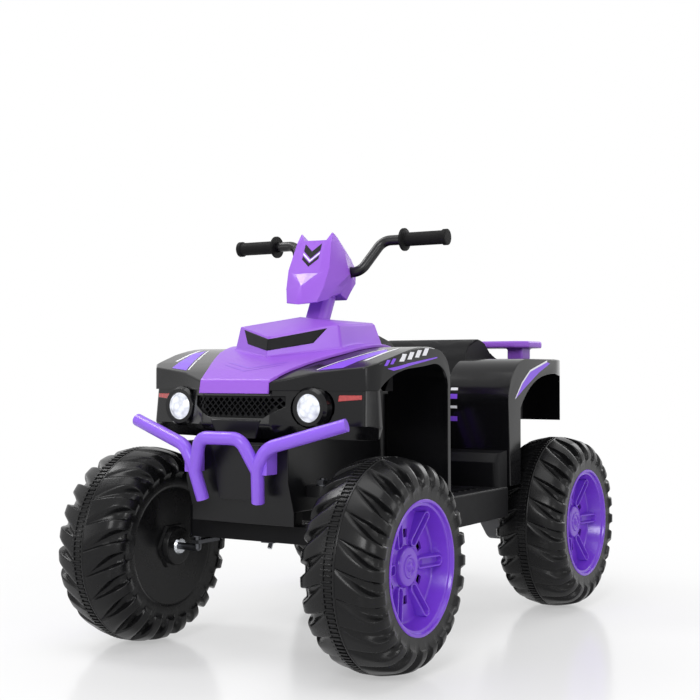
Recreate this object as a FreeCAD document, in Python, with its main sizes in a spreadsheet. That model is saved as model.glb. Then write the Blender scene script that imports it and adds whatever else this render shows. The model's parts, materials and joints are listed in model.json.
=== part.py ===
import FreeCAD, Part
import Sketcher
import math
import os
from types import SimpleNamespace

# Kids ride-on quad bike. Millimetres, +Z up, forward is -Y, +X is the rider's left.
# The origin is on the floor, midway between the axles. Heights are counted from the axles,
# front pieces from the front axle and rear pieces from the rear axle.

SIZES = {
    # whole vehicle
    "wheelbase": (676, "front axle to rear axle"),
    "track": (478, "mid-plane to mid-plane of a wheel pair"),
    "wall": (4, "wall of the moulded panels"),
    "fit_gap": (0.3, "gap between pieces that sit in one another"),
    "bearing_gap": (0.05, "radial play of a running fit"),
    # wheels
    "tyre_radius": (165, "over the tread bars"),
    "tyre_width": (140, "over the side walls"),
    "lug_height": (10, "depth of the grooves between the tread bars"),
    "lug_width": (23, "tread bar, along the tread"),
    "lug_count": (24, "tread bars on one side"),
    "lug_sweep": (12, "wheel angle that one bar sweeps, degrees"),
    "band_width": (19, "ribbed centre band"),
    "wheel_wall": (5, "wall of the wheel moulding below the grooves"),
    "rim_radius": (103.4, "opening for the rim cover"),
    "rim_inset": (5, "rim opening behind the tyre's widest place"),
    "dish_depth": (50, "wheel moulding's dish behind its side"),
    "boss_radius": (32.5, "boss on the wheel's inner face"),
    "boss_height": (14, "boss above the wheel's inner face"),
    "flange_half": (41, "six-sided flange round the boss, to its corners"),
    "axle_radius": (6, "steel axles and kingpins"),
    "bush_radius": (14, "steel bush in the wheel"),
    "hub_radius": (34, "rim cover's hub"),
    "spoke_count": (6, "spokes of the rim cover"),
    "spoke_width": (30, "spoke across"),
    "spoke_height": (16, "spoke above the rim cover's floor"),
    "cap_radius": (17, "centre cap"),
    # front axle and steering linkage
    "kingpin_inset": (44, "kingpin from the tyre's inner side"),
    "beam_clear": (21, "beam above the axles"),
    "beam_height": (28, "front beam"),
    "beam_depth": (28, "front beam"),
    "sleeve_radius": (12, "kingpin sleeve"),
    "sleeve_height": (52, "kingpin sleeve"),
    "bracket_clear": (97, "upper kingpin bracket above the axles"),
    "bracket_height": (18, "upper kingpin bracket"),
    "arm_length": (42, "steering arms and column crank"),
    "arm_clear": (7, "steering arm above the axles"),
    "arm_thickness": (6, "steering arms"),
    "pin_radius": (4, "steering pins"),
    "tie_rod_radius": (4, "tie rod"),
    "rake": (26.7, "steering axis from the vertical, degrees"),
    "column_foot": (35, "steering axis above the axles at the front axle"),
    "column_radius": (8, "steering column"),
    "column_start": (30, "crank along the steering axis"),
    "neck_radius": (21, "purple neck"),
    "neck_start": (340, "neck along the steering axis"),
    "neck_length": (122, "purple neck"),
    "head_start": (386, "steering head's chin along the steering axis"),
    "head_height": (140, "steering head along the steering axis"),
    "head_reach": (65, "steering head's chin ahead of the steering axis"),
    "head_depth": (26, "steering head's back shell behind the steering axis"),
    "head_width": (104, "steering head across"),
    "bar_level": (486, "handlebar's middle along the steering axis"),
    "bar_rise": (62, "grips above the handlebar's middle"),
    "bar_radius": (9, "handlebar tube"),
    "bar_half": (220, "handlebar end from the middle"),
    "bar_root": (62, "lower bend from the middle"),
    "bar_knee": (92, "upper bend from the middle"),
    "grip_length": (87, "grip"),
    "grip_radius": (12, "grip"),
    "flange_radius": (20, "round flange of the grip"),
    # lower body
    "tub_half": (100, "half width of the tub"),
    "front_floor": (75, "tub floor in front, above the axles"),
    "mid_floor": (25, "tub floor between the footboards"),
    "rear_floor": (40, "tub floor behind"),
    "deck_height": (260, "tub top below the seat"),
    "panel_top": (183, "top of the lower front panel"),
    "panel_reach": (62, "lower front panel ahead of the front axle"),
    "side_half": (230, "half width over fenders and footboards"),
    "board_start": (232, "footboard behind the front axle"),
    "board_clear": (28, "footboard above the axles"),
    "board_height": (55, "footboard"),
    "heel_height": (66, "heel wall above the footboard"),
    "heel_depth": (46, "heel wall"),
    "skirt_drop": (22, "lower front panel below the tub's floor"),
    "side_panel_depth": (8, "side panel on the tub"),
    # front body
    "nose_reach": (64, "fascia's nose ahead of the front axle"),
    "nose_half": (67, "half width of the nose"),
    "lamp_reach": (34, "fascia at the headlights"),
    "lamp_half": (127, "headlight from the middle"),
    "lamp_height": (238, "headlight above the axles"),
    "lamp_radius": (23, "headlight lens"),
    "bezel_radius": (32, "headlight bezel"),
    "corner_reach": (11, "fascia's outer corner"),
    "corner_half": (207, "fascia's outer corner from the middle"),
    "flank_half": (222, "fascia's side from the middle"),
    "flank_back": (8, "fascia's side behind the front axle"),
    "fascia_bottom": (188, "fascia's lower edge"),
    "fascia_crease": (210, "fascia's crease, where it reaches out most"),
    "fascia_top": (265, "fascia below the fenders' front band"),
    "fascia_lap": (8, "fascia behind the fenders' front band"),
    "fascia_tuck": (20, "fascia's lower edge behind its crease"),
    "shoulder_nose": (277, "fender top at the nose"),
    "shoulder_brow": (295, "fender top above the headlights"),
    "shoulder_mid": (322, "fender top beside the hood"),
    "shoulder_crest": (335, "fender top at its crest"),
    "crest_back": (161, "fender crest behind the front axle"),
    "fender_back": (238, "fender's rear wall behind the front axle"),
    "fender_band": (29, "side band of the fender"),
    "hood_sheet": (5, "hood's sheet"),
    "hood_half": (146, "hood's widest half"),
    "hood_back": (205, "hood's rear edge behind the front axle"),
    "hump_height": (388, "hump's top above the axles"),
    "hump_half": (112, "hump's half width"),
    "scoop_depth": (8, "scoop insert"),
    "cover_half": (118, "cover behind the hood, half width"),
    "cover_top": (359, "cover behind the hood, above the axles"),
    "cover_length": (162, "cover behind the hood"),
    # grille
    "mesh_pitch": (11, "grille diamonds"),
    "mesh_bar": (2.4, "grille bars"),
    "mesh_depth": (4, "grille"),
    # bull bar
    "bull_radius": (10.5, "bull bar tube"),
    "bull_reach": (91, "bull bar ahead of the front axle"),
    "bull_half": (205, "bull bar's tips from the middle"),
    "bull_bend": (34, "bend radius of its arms"),
    "hoop_bend": (22, "bend radius of its hoop"),
    "bull_tip": (214, "bull bar's tips above the axles"),
    "bull_knee": (80, "bull bar's upper bend from the middle"),
    "bull_leg": (63, "bull bar's lower bend from the middle"),
    "bull_foot": (54, "bull bar's feet from the middle"),
    "hoop_half": (39, "bull bar's hoop, half width"),
    # seat and rear body
    "seat_half": (99, "half width of the seat"),
    "seat_height": (12, "seat above the tub's deck"),
    "seat_tail": (36, "seat's tail above the rear fenders"),
    "rear_front": (206, "rear fender's front ahead of the rear axle"),
    "rear_back": (143, "rear fender's end behind the rear axle"),
    "rear_top": (319, "rear fender's top above the axles"),
    "rear_roll": (85, "rear fender's front roll"),
    "rack_half": (160, "half width of the rack"),
    "rack_length": (112, "rack"),
    "rack_thickness": (10, "rack's plate"),
    "rack_rise": (24, "rack above the rear fenders"),
    # drive
    "gearbox_thickness": (44, "gearbox across"),
    "gearbox_radius": (44, "gearbox round the axle"),
    "motor_ahead": (88, "motor ahead of the rear axle"),
    "motor_up": (68, "motor above the axles"),
    "motor_radius": (18, "motor can"),
    "motor_length": (58, "motor can"),
    "battery_length": (151, "battery"),
    "battery_width": (98, "battery"),
    "battery_height": (95, "battery"),
    # controls
    "pedal_width": (70, "accelerator pedal"),
    "pedal_length": (62, "accelerator pedal"),
    "pedal_pin": (3, "accelerator pedal's pin, radius"),
    "button_radius": (9, "round buttons"),
    "button_travel": (2.5, "round buttons"),
}

doc = FreeCAD.newDocument("KidsQuadBike")
sheet = doc.addObject("Spreadsheet::Sheet", "Sizes")
for row, (alias, (amount, note)) in enumerate(SIZES.items(), start=1):
    sheet.set(f"A{row}", note)
    sheet.set(f"B{row}", str(amount))
    sheet.setAlias(f"B{row}", alias)
doc.recompute()


class Size:
    """A length worked out from the sheet: its value now, and the formula that binds a property to it."""

    def __init__(self, value, formula):
        self.value = value
        self.formula = formula

    def __float__(self):
        return self.value

    def __add__(self, other):
        other = as_size(other)
        return Size(self.value + other.value, f"({self.formula} + {other.formula})")

    def __sub__(self, other):
        other = as_size(other)
        return Size(self.value - other.value, f"({self.formula} - {other.formula})")

    def __mul__(self, other):
        other = as_size(other)
        return Size(self.value * other.value, f"({self.formula} * {other.formula})")

    def __truediv__(self, other):
        other = as_size(other)
        return Size(self.value / other.value, f"({self.formula} / {other.formula})")

    def __neg__(self):
        return Size(-self.value, f"(0 - {self.formula})")

    def __radd__(self, other):
        return as_size(other) + self

    def __rsub__(self, other):
        return as_size(other) - self

    def __rmul__(self, other):
        return as_size(other) * self


def as_size(thing):
    if isinstance(thing, Size):
        return thing
    return Size(float(thing), repr(float(thing)))


S = SimpleNamespace(**{alias: Size(float(sheet.get(alias)), f"Sizes.{alias}") for alias in SIZES})


def front(ahead):
    """Y of a place so far ahead of the front axle."""
    return -S.wheelbase / 2 - ahead


def rear(behind):
    """Y of a place so far behind the rear axle."""
    return S.wheelbase / 2 + behind


def over(height):
    """Z of a place so far above the axles."""
    return S.tyre_radius + height


def vec(x, y, z):
    return FreeCAD.Vector(float(x), float(y), float(z))


X_AXIS = vec(1, 0, 0)
Y_AXIS = vec(0, 1, 0)
Z_AXIS = vec(0, 0, 1)

parts = {}


def keep(name, item):
    """Names a finished sub-part. Its label names its file."""
    item.Label = name
    parts[name] = item
    return item


def feature(name, shape):
    item = doc.addObject("Part::Feature", name)
    item.Shape = shape
    return keep(name, item)


def bind(item, **links):
    """Ties properties to the sheet: bind(box, Length=S.wall, Placement__Base__x=S.track / 2)."""
    for name, link in links.items():
        item.setExpression(name.replace("__", "."), as_size(link).formula)
    return item


def at(x, y, z):
    """Placement links for bind."""
    return {"Placement__Base__x": x, "Placement__Base__y": y, "Placement__Base__z": z}


def box(name, low, high):
    """A box between two corners, bound to the sheet."""
    item = doc.addObject("Part::Box", name)
    return bind(item, Length=high[0] - low[0], Width=high[1] - low[1], Height=high[2] - low[2], **at(*low))


def rod(name, direction, start, length, radius):
    """A round rod along X, Y or Z from its start, bound to the sheet."""
    item = doc.addObject("Part::Cylinder", name)
    item.Placement.Rotation = FreeCAD.Rotation(Z_AXIS, direction)
    return bind(item, Radius=radius, Height=length, **at(*start))


def fused(name, *items):
    item = doc.addObject("Part::MultiFuse", name)
    item.Shapes = list(items)
    return item


def cut(name, base, *tools):
    """base without the tools."""
    item = doc.addObject("Part::Cut", name)
    item.Base = base
    item.Tool = tools[0] if len(tools) == 1 else fused(name + "_tools", *tools)
    return item


def mirrored(name, source):
    """The same piece on the other side of the vehicle."""
    item = doc.addObject("Part::Mirroring", name)
    item.Source = source
    item.Normal = X_AXIS
    return keep(name, item)


def both(name, source):
    """A piece and its mirror image as one group."""
    item = doc.addObject("Part::Mirroring", name + "_other")
    item.Source = source
    item.Normal = X_AXIS
    return group(name, source, item)


def group(name, *items):
    """Like pieces under one name, each its own solid."""
    item = doc.addObject("Part::Compound", name)
    item.Links = list(items)
    return keep(name, item)


def place(direction, along, pair):
    """A point from its place along X, Y or Z and its two other coordinates in X, Y, Z order."""
    first, second = pair
    order = {"X": (along, first, second), "Y": (first, along, second), "Z": (first, second, along)}
    return vec(*order[direction])


def slab(direction, outline, start, end):
    """A flat outline of straight edges drawn out along X, Y or Z."""
    corners = [place(direction, start, pair) for pair in outline]
    face = Part.Face(Part.makePolygon([*corners, corners[0]]))
    return face.extrude(place(direction, float(end) - float(start), (0, 0)))


def shrunk(outline, inset):
    """The same outline of straight edges, moved inwards all round."""
    corners = [(float(first), float(second)) for first, second in outline]
    before = corners[-1:] + corners[:-1]
    after = corners[1:] + corners[:1]
    area = sum(a[0] * b[1] - b[0] * a[1] for a, b in zip(corners, after))
    inward = math.copysign(float(inset), area)
    moved = []
    for last, corner, following in zip(before, corners, after):
        coming = vec(corner[0] - last[0], corner[1] - last[1], 0).normalize()
        going = vec(following[0] - corner[0], following[1] - corner[1], 0).normalize()
        shift = Z_AXIS.cross(coming) + Z_AXIS.cross(going)
        shift = shift * (inward / (1 + coming.dot(going)))
        moved.append((corner[0] + shift.x, corner[1] + shift.y))
    return moved


def block(low, high):
    """A box shape between two corners."""
    return Part.makeBox(*[float(b) - float(a) for a, b in zip(low, high)], vec(*low))


def both_sides(shape):
    return shape.fuse(shape.mirror(vec(0, 0, 0), X_AXIS))


def pair_of(shape):
    """A shape and its mirror image, each its own solid."""
    return Part.makeCompound([shape, shape.mirror(vec(0, 0, 0), X_AXIS)])


def ruled(sections):
    """A solid with straight rulings through closed sections of as many corners each."""
    wires = [Part.makePolygon([*section, section[0]]) for section in sections]
    return Part.makeLoft(wires, True, True)


def curve(points):
    """A smooth edge through points."""
    spline = Part.BSplineCurve()
    spline.interpolate(points)
    return spline.toShape()


def line(start, end):
    return Part.LineSegment(start, end).toShape()


def bent_path(corners, bend):
    """Straight runs through the corners, joined by tangent arcs."""
    edges = []
    start = corners[0]
    for before, corner, after in zip(corners, corners[1:], corners[2:]):
        inward = (before - corner).normalize()
        outward = (after - corner).normalize()
        half_turn = (math.pi - inward.getAngle(outward)) / 2
        setback = float(bend) * math.tan(half_turn)
        middle_way = (inward + outward).normalize()
        centre = corner + middle_way * (float(bend) / math.cos(half_turn))
        first = corner + inward * setback
        last = corner + outward * setback
        edges.append(line(start, first))
        edges.append(Part.Arc(first, centre - middle_way * float(bend), last).toShape())
        start = last
    edges.append(line(start, corners[-1]))
    return Part.Wire(edges)


def bent_tube(corners, radius, bend):
    path = bent_path(corners, bend)
    ring = Part.Wire(Part.makeCircle(float(radius), corners[0], corners[1] - corners[0]))
    return path.makePipeShell([ring], True, False)


def turned_solid(profile):
    """A solid turned about X from (along, radius) corners."""
    corners = [vec(along, 0, radius) for along, radius in profile]
    face = Part.Face(Part.makePolygon([*corners, corners[0]]))
    return face.revolve(vec(0, 0, 0), X_AXIS, 360)


def bound_sketch(body, name, role, corners):
    """A closed outline on one of the body's origin planes, each corner bound to the sheet."""
    sketch = body.newObject("Sketcher::SketchObject", name)
    plane = next(item for item in body.Origin.OriginFeatures if item.Role == role)
    sketch.AttachmentSupport = [(plane, "")]
    sketch.MapMode = "FlatFace"
    corners = [(as_size(across), as_size(up)) for across, up in corners]
    count = len(corners)
    for number, corner in enumerate(corners):
        after = corners[(number + 1) % count]
        sketch.addGeometry(Part.LineSegment(vec(*corner, 0), vec(*after, 0)))
    for number in range(count):
        sketch.addConstraint(Sketcher.Constraint("Coincident", number, 2, (number + 1) % count, 1))
    for number, corner in enumerate(corners):
        for kind, link in zip(("DistanceX", "DistanceY"), corner):
            index = sketch.addConstraint(Sketcher.Constraint(kind, -1, 1, number, 1, link.value))
            sketch.setExpression(f"Constraints[{index}]", link.formula)
    return sketch


def turned_body(name, profile):
    """A body turned about X from (along, radius) corners bound to the sheet."""
    body = doc.addObject("PartDesign::Body", name)
    sketch = bound_sketch(body, name + "_profile", "XZ_Plane", profile)
    turn = body.newObject("PartDesign::Revolution", name + "_turn")
    turn.Profile = sketch
    turn.ReferenceAxis = (sketch, ["H_Axis"])
    turn.Angle = 360
    return body


# Wheels. In a wheel's own frame X points outwards and the mid-plane is at 0.

# from the centre band to the shoulder: share of the half width, drop below the tyre's radius
TREAD = ((0.14, 0), (0.35, 2.5), (0.7, 9), (0.92, 21.5), (0.985, 33))
# a groove at those places: share of its full width, share of its full depth
GROOVE = ((0.3, 0.35), (0.5, 0.85), (0.85, 1), (1, 1), (0.75, 0.6))
half_tyre = S.tyre_width / 2
rim_side = half_tyre - S.rim_inset
dish = half_tyre - S.dish_depth
inner_face = 4 - rim_side


def carcass_profile():
    """Outer outline of the wheel moulding from its inner bore round to its outer bore."""
    bore = S.axle_radius + S.bearing_gap
    crown = [(share * half_tyre, S.tyre_radius - drop) for share, drop in TREAD]
    outer = [(S.band_width / 2, S.tyre_radius - 1), *crown]
    outer += [(half_tyre, S.rim_radius + 12), (rim_side, S.rim_radius)]
    inner = [(-along, radius) for along, radius in outer[::-1]]
    boss_end = inner_face - S.boss_height
    boss = [(boss_end, bore), (boss_end, S.boss_radius), (inner_face, S.boss_radius + 2)]
    return [*boss, (inner_face, S.rim_radius - 4), *inner, *outer, (dish, S.rim_radius - 6), (dish, bore)]


def cavity_profile():
    """The hollow inside the wheel moulding."""
    skin = S.wheel_wall
    depth = skin + S.lug_height
    hub = S.axle_radius + skin * 2
    room_half = half_tyre - depth
    outer = [(room_half * share, S.tyre_radius - depth - drop) for share, drop in TREAD[:4]]
    inner = [(-along, radius) for along, radius in outer[::-1]]
    waist = S.rim_radius + 10
    low = [(inner_face + skin, hub), (inner_face + skin, S.rim_radius - 4), (-room_half, waist)]
    high = [(room_half, waist), (dish + 2, S.rim_radius + 2), (dish - skin, S.rim_radius - 8)]
    return [*low, *inner, *outer, *high, (dish - skin, hub)]


def tread_groove(side, turn):
    """Tool for one slanted groove between two tread bars, from the centre band to the shoulder."""
    spots = [vec(share * half_tyre, 0, S.tyre_radius - drop) for share, drop in TREAD]
    ways = [after - before for before, after in zip(spots[:1] + spots[:-1], spots[1:] + spots[-1:])]
    pitch = 2 * math.pi / float(S.lug_count)
    sections = []
    for (share, _), (wide, deep), spot, way in zip(TREAD, GROOVE, spots, ways):
        outward = vec(-way.z, 0, way.x).normalize()
        low = spot - outward * (float(S.lug_height) * deep)
        high = spot + outward * 4
        middle = math.radians(turn - share * float(S.lug_sweep))
        half = (pitch - float(S.lug_width) / spot.z) / 2 * wide
        points = []
        for point, swing in ((low, -half * 0.6), (high, -half * 1.2), (high, half * 1.2), (low, half * 0.6)):
            angle = middle + swing
            points.append(vec(side * point.x, -point.z * math.cos(angle), point.z * math.sin(angle)))
        sections.append(points)
    return ruled(sections)


def tyre_shape():
    """Hollow wheel moulding with grooves between its tread bars and a flange round its inner boss."""
    carcass = turned_solid(carcass_profile()).cut(turned_solid(cavity_profile()))
    half = float(S.flange_half)
    corners = [math.radians(60 * number) for number in range(6)]
    ring = [(half * math.cos(turn), half * math.sin(turn)) for turn in corners]
    bore = Part.makeCylinder(float(S.boss_radius), 200, vec(-100, 0, 0), X_AXIS)
    flange = slab("X", ring, inner_face - 5, inner_face + 1).cut(bore)
    count = round(float(S.lug_count))
    pitch = 360 / count
    grooves = []
    for number in range(count):
        grooves.append(tread_groove(1, (number + 0.5) * pitch))
        grooves.append(tread_groove(-1, number * pitch))
    return carcass.fuse(flange).cut(Part.makeCompound(grooves))


def rim_body(name):
    """Purple cover: dish, lip, hub and cap in one turning, with pocketed spokes and vents between them."""
    edge = S.rim_radius - S.fit_gap
    floor = dish + 12
    nut_room = S.axle_radius + 8
    profile = [
        (dish, nut_room),
        (dish, S.hub_radius),
        (floor - S.wall, S.hub_radius + 3),
        (floor - S.wall, edge - 12),
        (rim_side - 8, edge - 2),
        (rim_side, edge),
        (rim_side + 1, edge - 1),
        (rim_side + 1, edge - 6),
        (rim_side - 5, edge - 9),
        (floor, edge - 16),
        (floor, S.hub_radius),
        (floor + 6, S.hub_radius - 4),
        (floor + 6, S.cap_radius),
        (floor + 3, S.cap_radius - 3),
        (floor + 3, S.cap_radius - 8),
        (floor + 8, S.cap_radius - 12),
        (floor + 9, 0),
        (floor + 4, 0),
        (floor + 1, nut_room - 3),
        (floor + 1, nut_room),
    ]
    body = turned_body(name, profile)
    root = S.hub_radius - 8
    tip = edge - 13
    half = S.spoke_width / 2
    spoke_outline = [(-half * 0.8, root), (half * 0.8, root), (half, tip), (-half, tip)]
    spoke_sketch = bound_sketch(body, name + "_spoke_outline", "YZ_Plane", spoke_outline)
    bind(spoke_sketch, AttachmentOffset__Base__z=floor - S.wall / 2)
    spoke = body.newObject("PartDesign::Pad", name + "_spoke")
    spoke.Profile = spoke_sketch
    bind(spoke, Length=S.spoke_height + S.wall / 2)
    slot = half * 0.5
    bend = [math.radians(turn) for turn in (180, 215, 250, 290, 325, 360)]
    foot = root + 10 + slot
    rounds = [(round(math.cos(turn), 3), round(math.sin(turn), 3)) for turn in bend]
    slot_outline = [(slot * across, foot + slot * out) for across, out in rounds]
    slot_outline += [(slot * 1.15, tip - 8), (slot, tip - 6), (-slot, tip - 6), (-slot * 1.15, tip - 8)]
    slot_sketch = bound_sketch(body, name + "_slot_outline", "YZ_Plane", slot_outline)
    bind(slot_sketch, AttachmentOffset__Base__z=floor + S.spoke_height)
    slot_cut = body.newObject("PartDesign::Pocket", name + "_slot")
    slot_cut.Profile = slot_sketch
    bind(slot_cut, Length=S.spoke_height * 0.6)
    low, high = S.hub_radius + 4, S.hub_radius + 17
    vent_corners = [(-5, low), (5, low), (8, high), (-8, high)]
    half_step = math.pi / float(S.spoke_count)
    lean, rise = round(math.sin(half_step), 4), round(math.cos(half_step), 4)
    vent_outline = [(out * lean + across * rise, out * rise - across * lean) for across, out in vent_corners]
    vent_sketch = bound_sketch(body, name + "_vent_outline", "YZ_Plane", vent_outline)
    bind(vent_sketch, AttachmentOffset__Base__z=floor)
    vent_cut = body.newObject("PartDesign::Pocket", name + "_vent")
    vent_cut.Profile = vent_sketch
    bind(vent_cut, Length=S.wall * 1.5)
    pattern = body.newObject("PartDesign::PolarPattern", name + "_spokes")
    pattern.Originals = [spoke, slot_cut, vent_cut]
    pattern.Axis = (spoke_sketch, ["N_Axis"])
    pattern.Angle = 360
    bind(pattern, Occurrences=S.spoke_count)
    body.Tip = pattern
    return body


def bush_body(name, length):
    """Steel bush round the axle on the wheel's inner boss. On a rear wheel it reaches to the gearbox."""
    boss_end = inner_face - S.boss_height
    bore = S.axle_radius + S.bearing_gap
    profile = [
        (boss_end - length, bore),
        (boss_end - length, S.bush_radius - 2),
        (boss_end, S.bush_radius),
        (boss_end, bore),
    ]
    return turned_body(name, profile)


def wheel_place(side, axle_y):
    turn = FreeCAD.Rotation(Z_AXIS, 0 if side > 0 else 180)
    return FreeCAD.Placement(vec(side * float(S.track) / 2, axle_y, S.tyre_radius), turn)


WHEELS = {
    "front_left": (1, front(0)),
    "front_right": (-1, front(0)),
    "rear_left": (1, rear(0)),
    "rear_right": (-1, rear(0)),
}


def make_wheels():
    moulding = tyre_shape()
    for where, (side, axle_y) in WHEELS.items():
        tyre = feature("tyre_" + where, moulding)
        tyre.Placement = wheel_place(side, axle_y)
        boss_x = S.track / 2 + inner_face - S.boss_height
        drive = boss_x - S.tub_half - S.gearbox_thickness - S.fit_gap
        bush_length = drive if where.startswith("rear") else S.wall
        for body in (rim_body("rim_" + where), bush_body("wheel_bush_" + where, bush_length)):
            keep(body.Name, body)
            body.Placement = wheel_place(side, axle_y)
            bind(body, **at(S.track / 2 * side, axle_y, S.tyre_radius))


# Front axle and steering linkage

kingpin_x = S.track / 2 - half_tyre - S.kingpin_inset
beam_low = over(S.beam_clear)
beam_high = beam_low + S.beam_height
bracket_low = over(S.bracket_clear)
bracket_high = bracket_low + S.bracket_height
arm_low = over(S.arm_clear)
arm_high = arm_low + S.arm_thickness
arm_end = front(-S.arm_length)
hub_end = dish
NUT_HEIGHT = 7
WASHER = 2


def front_beam():
    """Cross beam with a kingpin sleeve at each end and two posts up to the tub."""
    half_depth = S.beam_depth / 2
    beam = box(
        "beam_bar",
        (-kingpin_x, front(half_depth), beam_low),
        (kingpin_x, front(-half_depth), beam_high),
    )
    sleeves = []
    bores = []
    posts = []
    for side in (1, -1):
        foot = (kingpin_x * side, front(0), beam_low)
        sleeves.append(rod(f"sleeve_{side}", Z_AXIS, foot, S.sleeve_height, S.sleeve_radius))
        bores.append(rod(f"sleeve_bore_{side}", Z_AXIS, foot, S.sleeve_height, S.axle_radius + S.bearing_gap))
        middle = S.tub_half * 0.7 * side
        low = (middle - 9, front(half_depth - 4), beam_high)
        high = (middle + 9, front(4 - half_depth), over(S.front_floor))
        posts.append(box(f"beam_post_{side}", low, high))
    solid = fused("beam_solid", beam, *sleeves, *posts)
    keep("front_beam", cut("front_beam", solid, *bores))


def kingpin_bracket():
    """Gusset from the tub's side that steadies the top of a kingpin."""
    eye = rod("bracket_eye", Z_AXIS, (kingpin_x, front(0), bracket_low), S.bracket_height, S.sleeve_radius)
    web = box(
        "bracket_web",
        (S.tub_half, front(S.sleeve_radius), bracket_low),
        (kingpin_x, front(-S.sleeve_radius), bracket_high),
    )
    bore = rod(
        "bracket_bore",
        Z_AXIS,
        (kingpin_x, front(0), bracket_low),
        S.bracket_height,
        S.axle_radius + S.bearing_gap,
    )
    both("kingpin_brackets", cut("kingpin_bracket", fused("bracket_solid", eye, web), bore))


def knuckle():
    """L-shaped steel rod, kingpin and stub axle in one, with its steering arm and pin."""
    axle_end = S.track / 2 + hub_end + WASHER + NUT_HEIGHT + 3
    corner = (kingpin_x, front(0), over(0))
    pin = rod("kingpin_rod", Z_AXIS, corner, bracket_high + WASHER + NUT_HEIGHT + 3 - over(0), S.axle_radius)
    axle = rod("stub_axle_rod", X_AXIS, corner, axle_end - kingpin_x, S.axle_radius)
    elbow = doc.addObject("Part::Sphere", "knuckle_elbow")
    bind(elbow, Radius=S.axle_radius, **at(*corner))
    half = S.pin_radius * 2
    arm = box(
        "arm_plate",
        (kingpin_x - half, front(half), arm_low),
        (kingpin_x + half, arm_end + half, arm_high),
    )
    arm_pin_height = S.tie_rod_radius * 2 + 4
    arm_pin = rod("arm_pin", Z_AXIS, (kingpin_x, arm_end, arm_high), arm_pin_height, S.pin_radius)
    left = keep("knuckle_left", fused("knuckle_left", pin, axle, elbow, arm, arm_pin))
    mirrored("knuckle_right", left)


def hex_nut(name, direction, start, length, hole):
    """A hexagon nut on a rod."""
    item = doc.addObject("Part::Prism", name + "_hexagon")
    item.Polygon = 6
    item.Placement.Rotation = FreeCAD.Rotation(Z_AXIS, direction)
    bind(item, Circumradius=hole + 5, Height=length, **at(*start))
    bore = rod(name + "_bore", direction, start, length, hole)
    return cut(name, item, bore)


def washer(name, direction, start, length, hole):
    disc = rod(name + "_disc", direction, start, length, hole + 6)
    bore = rod(name + "_hole", direction, start, length, hole)
    return cut(name, disc, bore)


def kingpin_hardware():
    """Washer below the sleeve, washer and nut above the bracket, washer and nut on the stub axle."""
    hole = S.axle_radius + S.bearing_gap
    top = bracket_high + S.fit_gap
    wheel_face = S.track / 2 + hub_end
    pieces = [
        washer("washer_low", Z_AXIS, (kingpin_x, front(0), beam_low - WASHER - S.fit_gap), WASHER, hole),
        washer("washer_top", Z_AXIS, (kingpin_x, front(0), top), WASHER, hole),
        hex_nut("nut_top", Z_AXIS, (kingpin_x, front(0), top + WASHER), NUT_HEIGHT, hole),
        hex_nut("nut_axle", X_AXIS, (wheel_face + WASHER, front(0), over(0)), NUT_HEIGHT, hole),
    ]
    mirrored("kingpin_nuts_right", group("kingpin_nuts_left", *pieces))


def tie_rod():
    """Thin rod with an eye at each end and a slotted plate in the middle for the column's pin."""
    low = arm_high + S.fit_gap
    thickness = S.tie_rod_radius * 2 + 2
    hole = S.pin_radius + S.bearing_gap
    bar_start = (-kingpin_x, arm_end, low + thickness / 2)
    bar = rod("tie_bar", X_AXIS, bar_start, kingpin_x * 2, S.tie_rod_radius)
    eyes = []
    holes = []
    for side in (1, -1):
        foot = (kingpin_x * side, arm_end, low)
        eyes.append(rod(f"tie_eye_{side}", Z_AXIS, foot, thickness, S.pin_radius * 2))
        holes.append(rod(f"tie_hole_{side}", Z_AXIS, foot, thickness, hole))
    middle = steer_point(0, float(S.arm_length), 0).y
    slot_half = S.pin_radius + 5
    plate = box(
        "tie_plate",
        (-S.pin_radius * 3, middle - slot_half - 5, low),
        (S.pin_radius * 3, arm_end + S.tie_rod_radius, low + thickness),
    )
    slot = box(
        "tie_slot",
        (-hole - 0.4, middle - slot_half, low),
        (hole + 0.4, middle + slot_half, low + thickness),
    )
    keep("tie_rod", cut("tie_rod", fused("tie_solid", bar, plate, *eyes), slot, *holes))


# Steering head. In its own frame Z runs up the steering axis and -Y points forward.

rake = math.radians(float(S.rake))
steer_base = vec(0, front(0), over(S.column_foot))
steer_turn = FreeCAD.Rotation(X_AXIS, -float(S.rake))
steer_frame = FreeCAD.Placement(steer_base, steer_turn)
BUTTON_ACROSS = 24
ROCKER_HALF_WIDTH = 7
ROCKER_HALF_HEIGHT = 13
ROCKER_GAP = 0.8
ROCKER_PIVOT = 7
switch_level = float(S.bar_level) - 12


def steer_point(across, back, up):
    """A place in the steering head's frame, in the vehicle's frame."""
    return steer_frame.multVec(vec(across, back, up))


def steered(item):
    item.Placement = steer_frame
    return bind(item, Placement__Base__y=front(0), Placement__Base__z=over(S.column_foot))


def steering_column():
    """Column with its crank and pin below and a clamp block for the handlebar above."""
    start = float(S.column_start)
    radius = float(S.column_radius)
    arm = float(S.arm_length)
    plate = float(S.arm_thickness)
    pin = float(S.pin_radius)
    top = float(S.bar_level)
    shaft = Part.makeCylinder(radius, top - start, vec(0, 0, start))
    crank = block((-pin * 2, -radius, start), (pin * 2, arm + pin * 2, start + plate))
    crank_pin = Part.makeCylinder(pin, start + 14, vec(0, arm, -14))
    clamp_half = float(S.bar_radius) + 5
    clamp = block((-22, -clamp_half, top - clamp_half), (22, clamp_half, top + clamp_half))
    hole = Part.makeCylinder(float(S.bar_radius + S.bearing_gap), 60, vec(-30, 0, top), X_AXIS)
    steered(feature("steering_column", shaft.multiFuse([crank, crank_pin, clamp]).cut(hole)))


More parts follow.
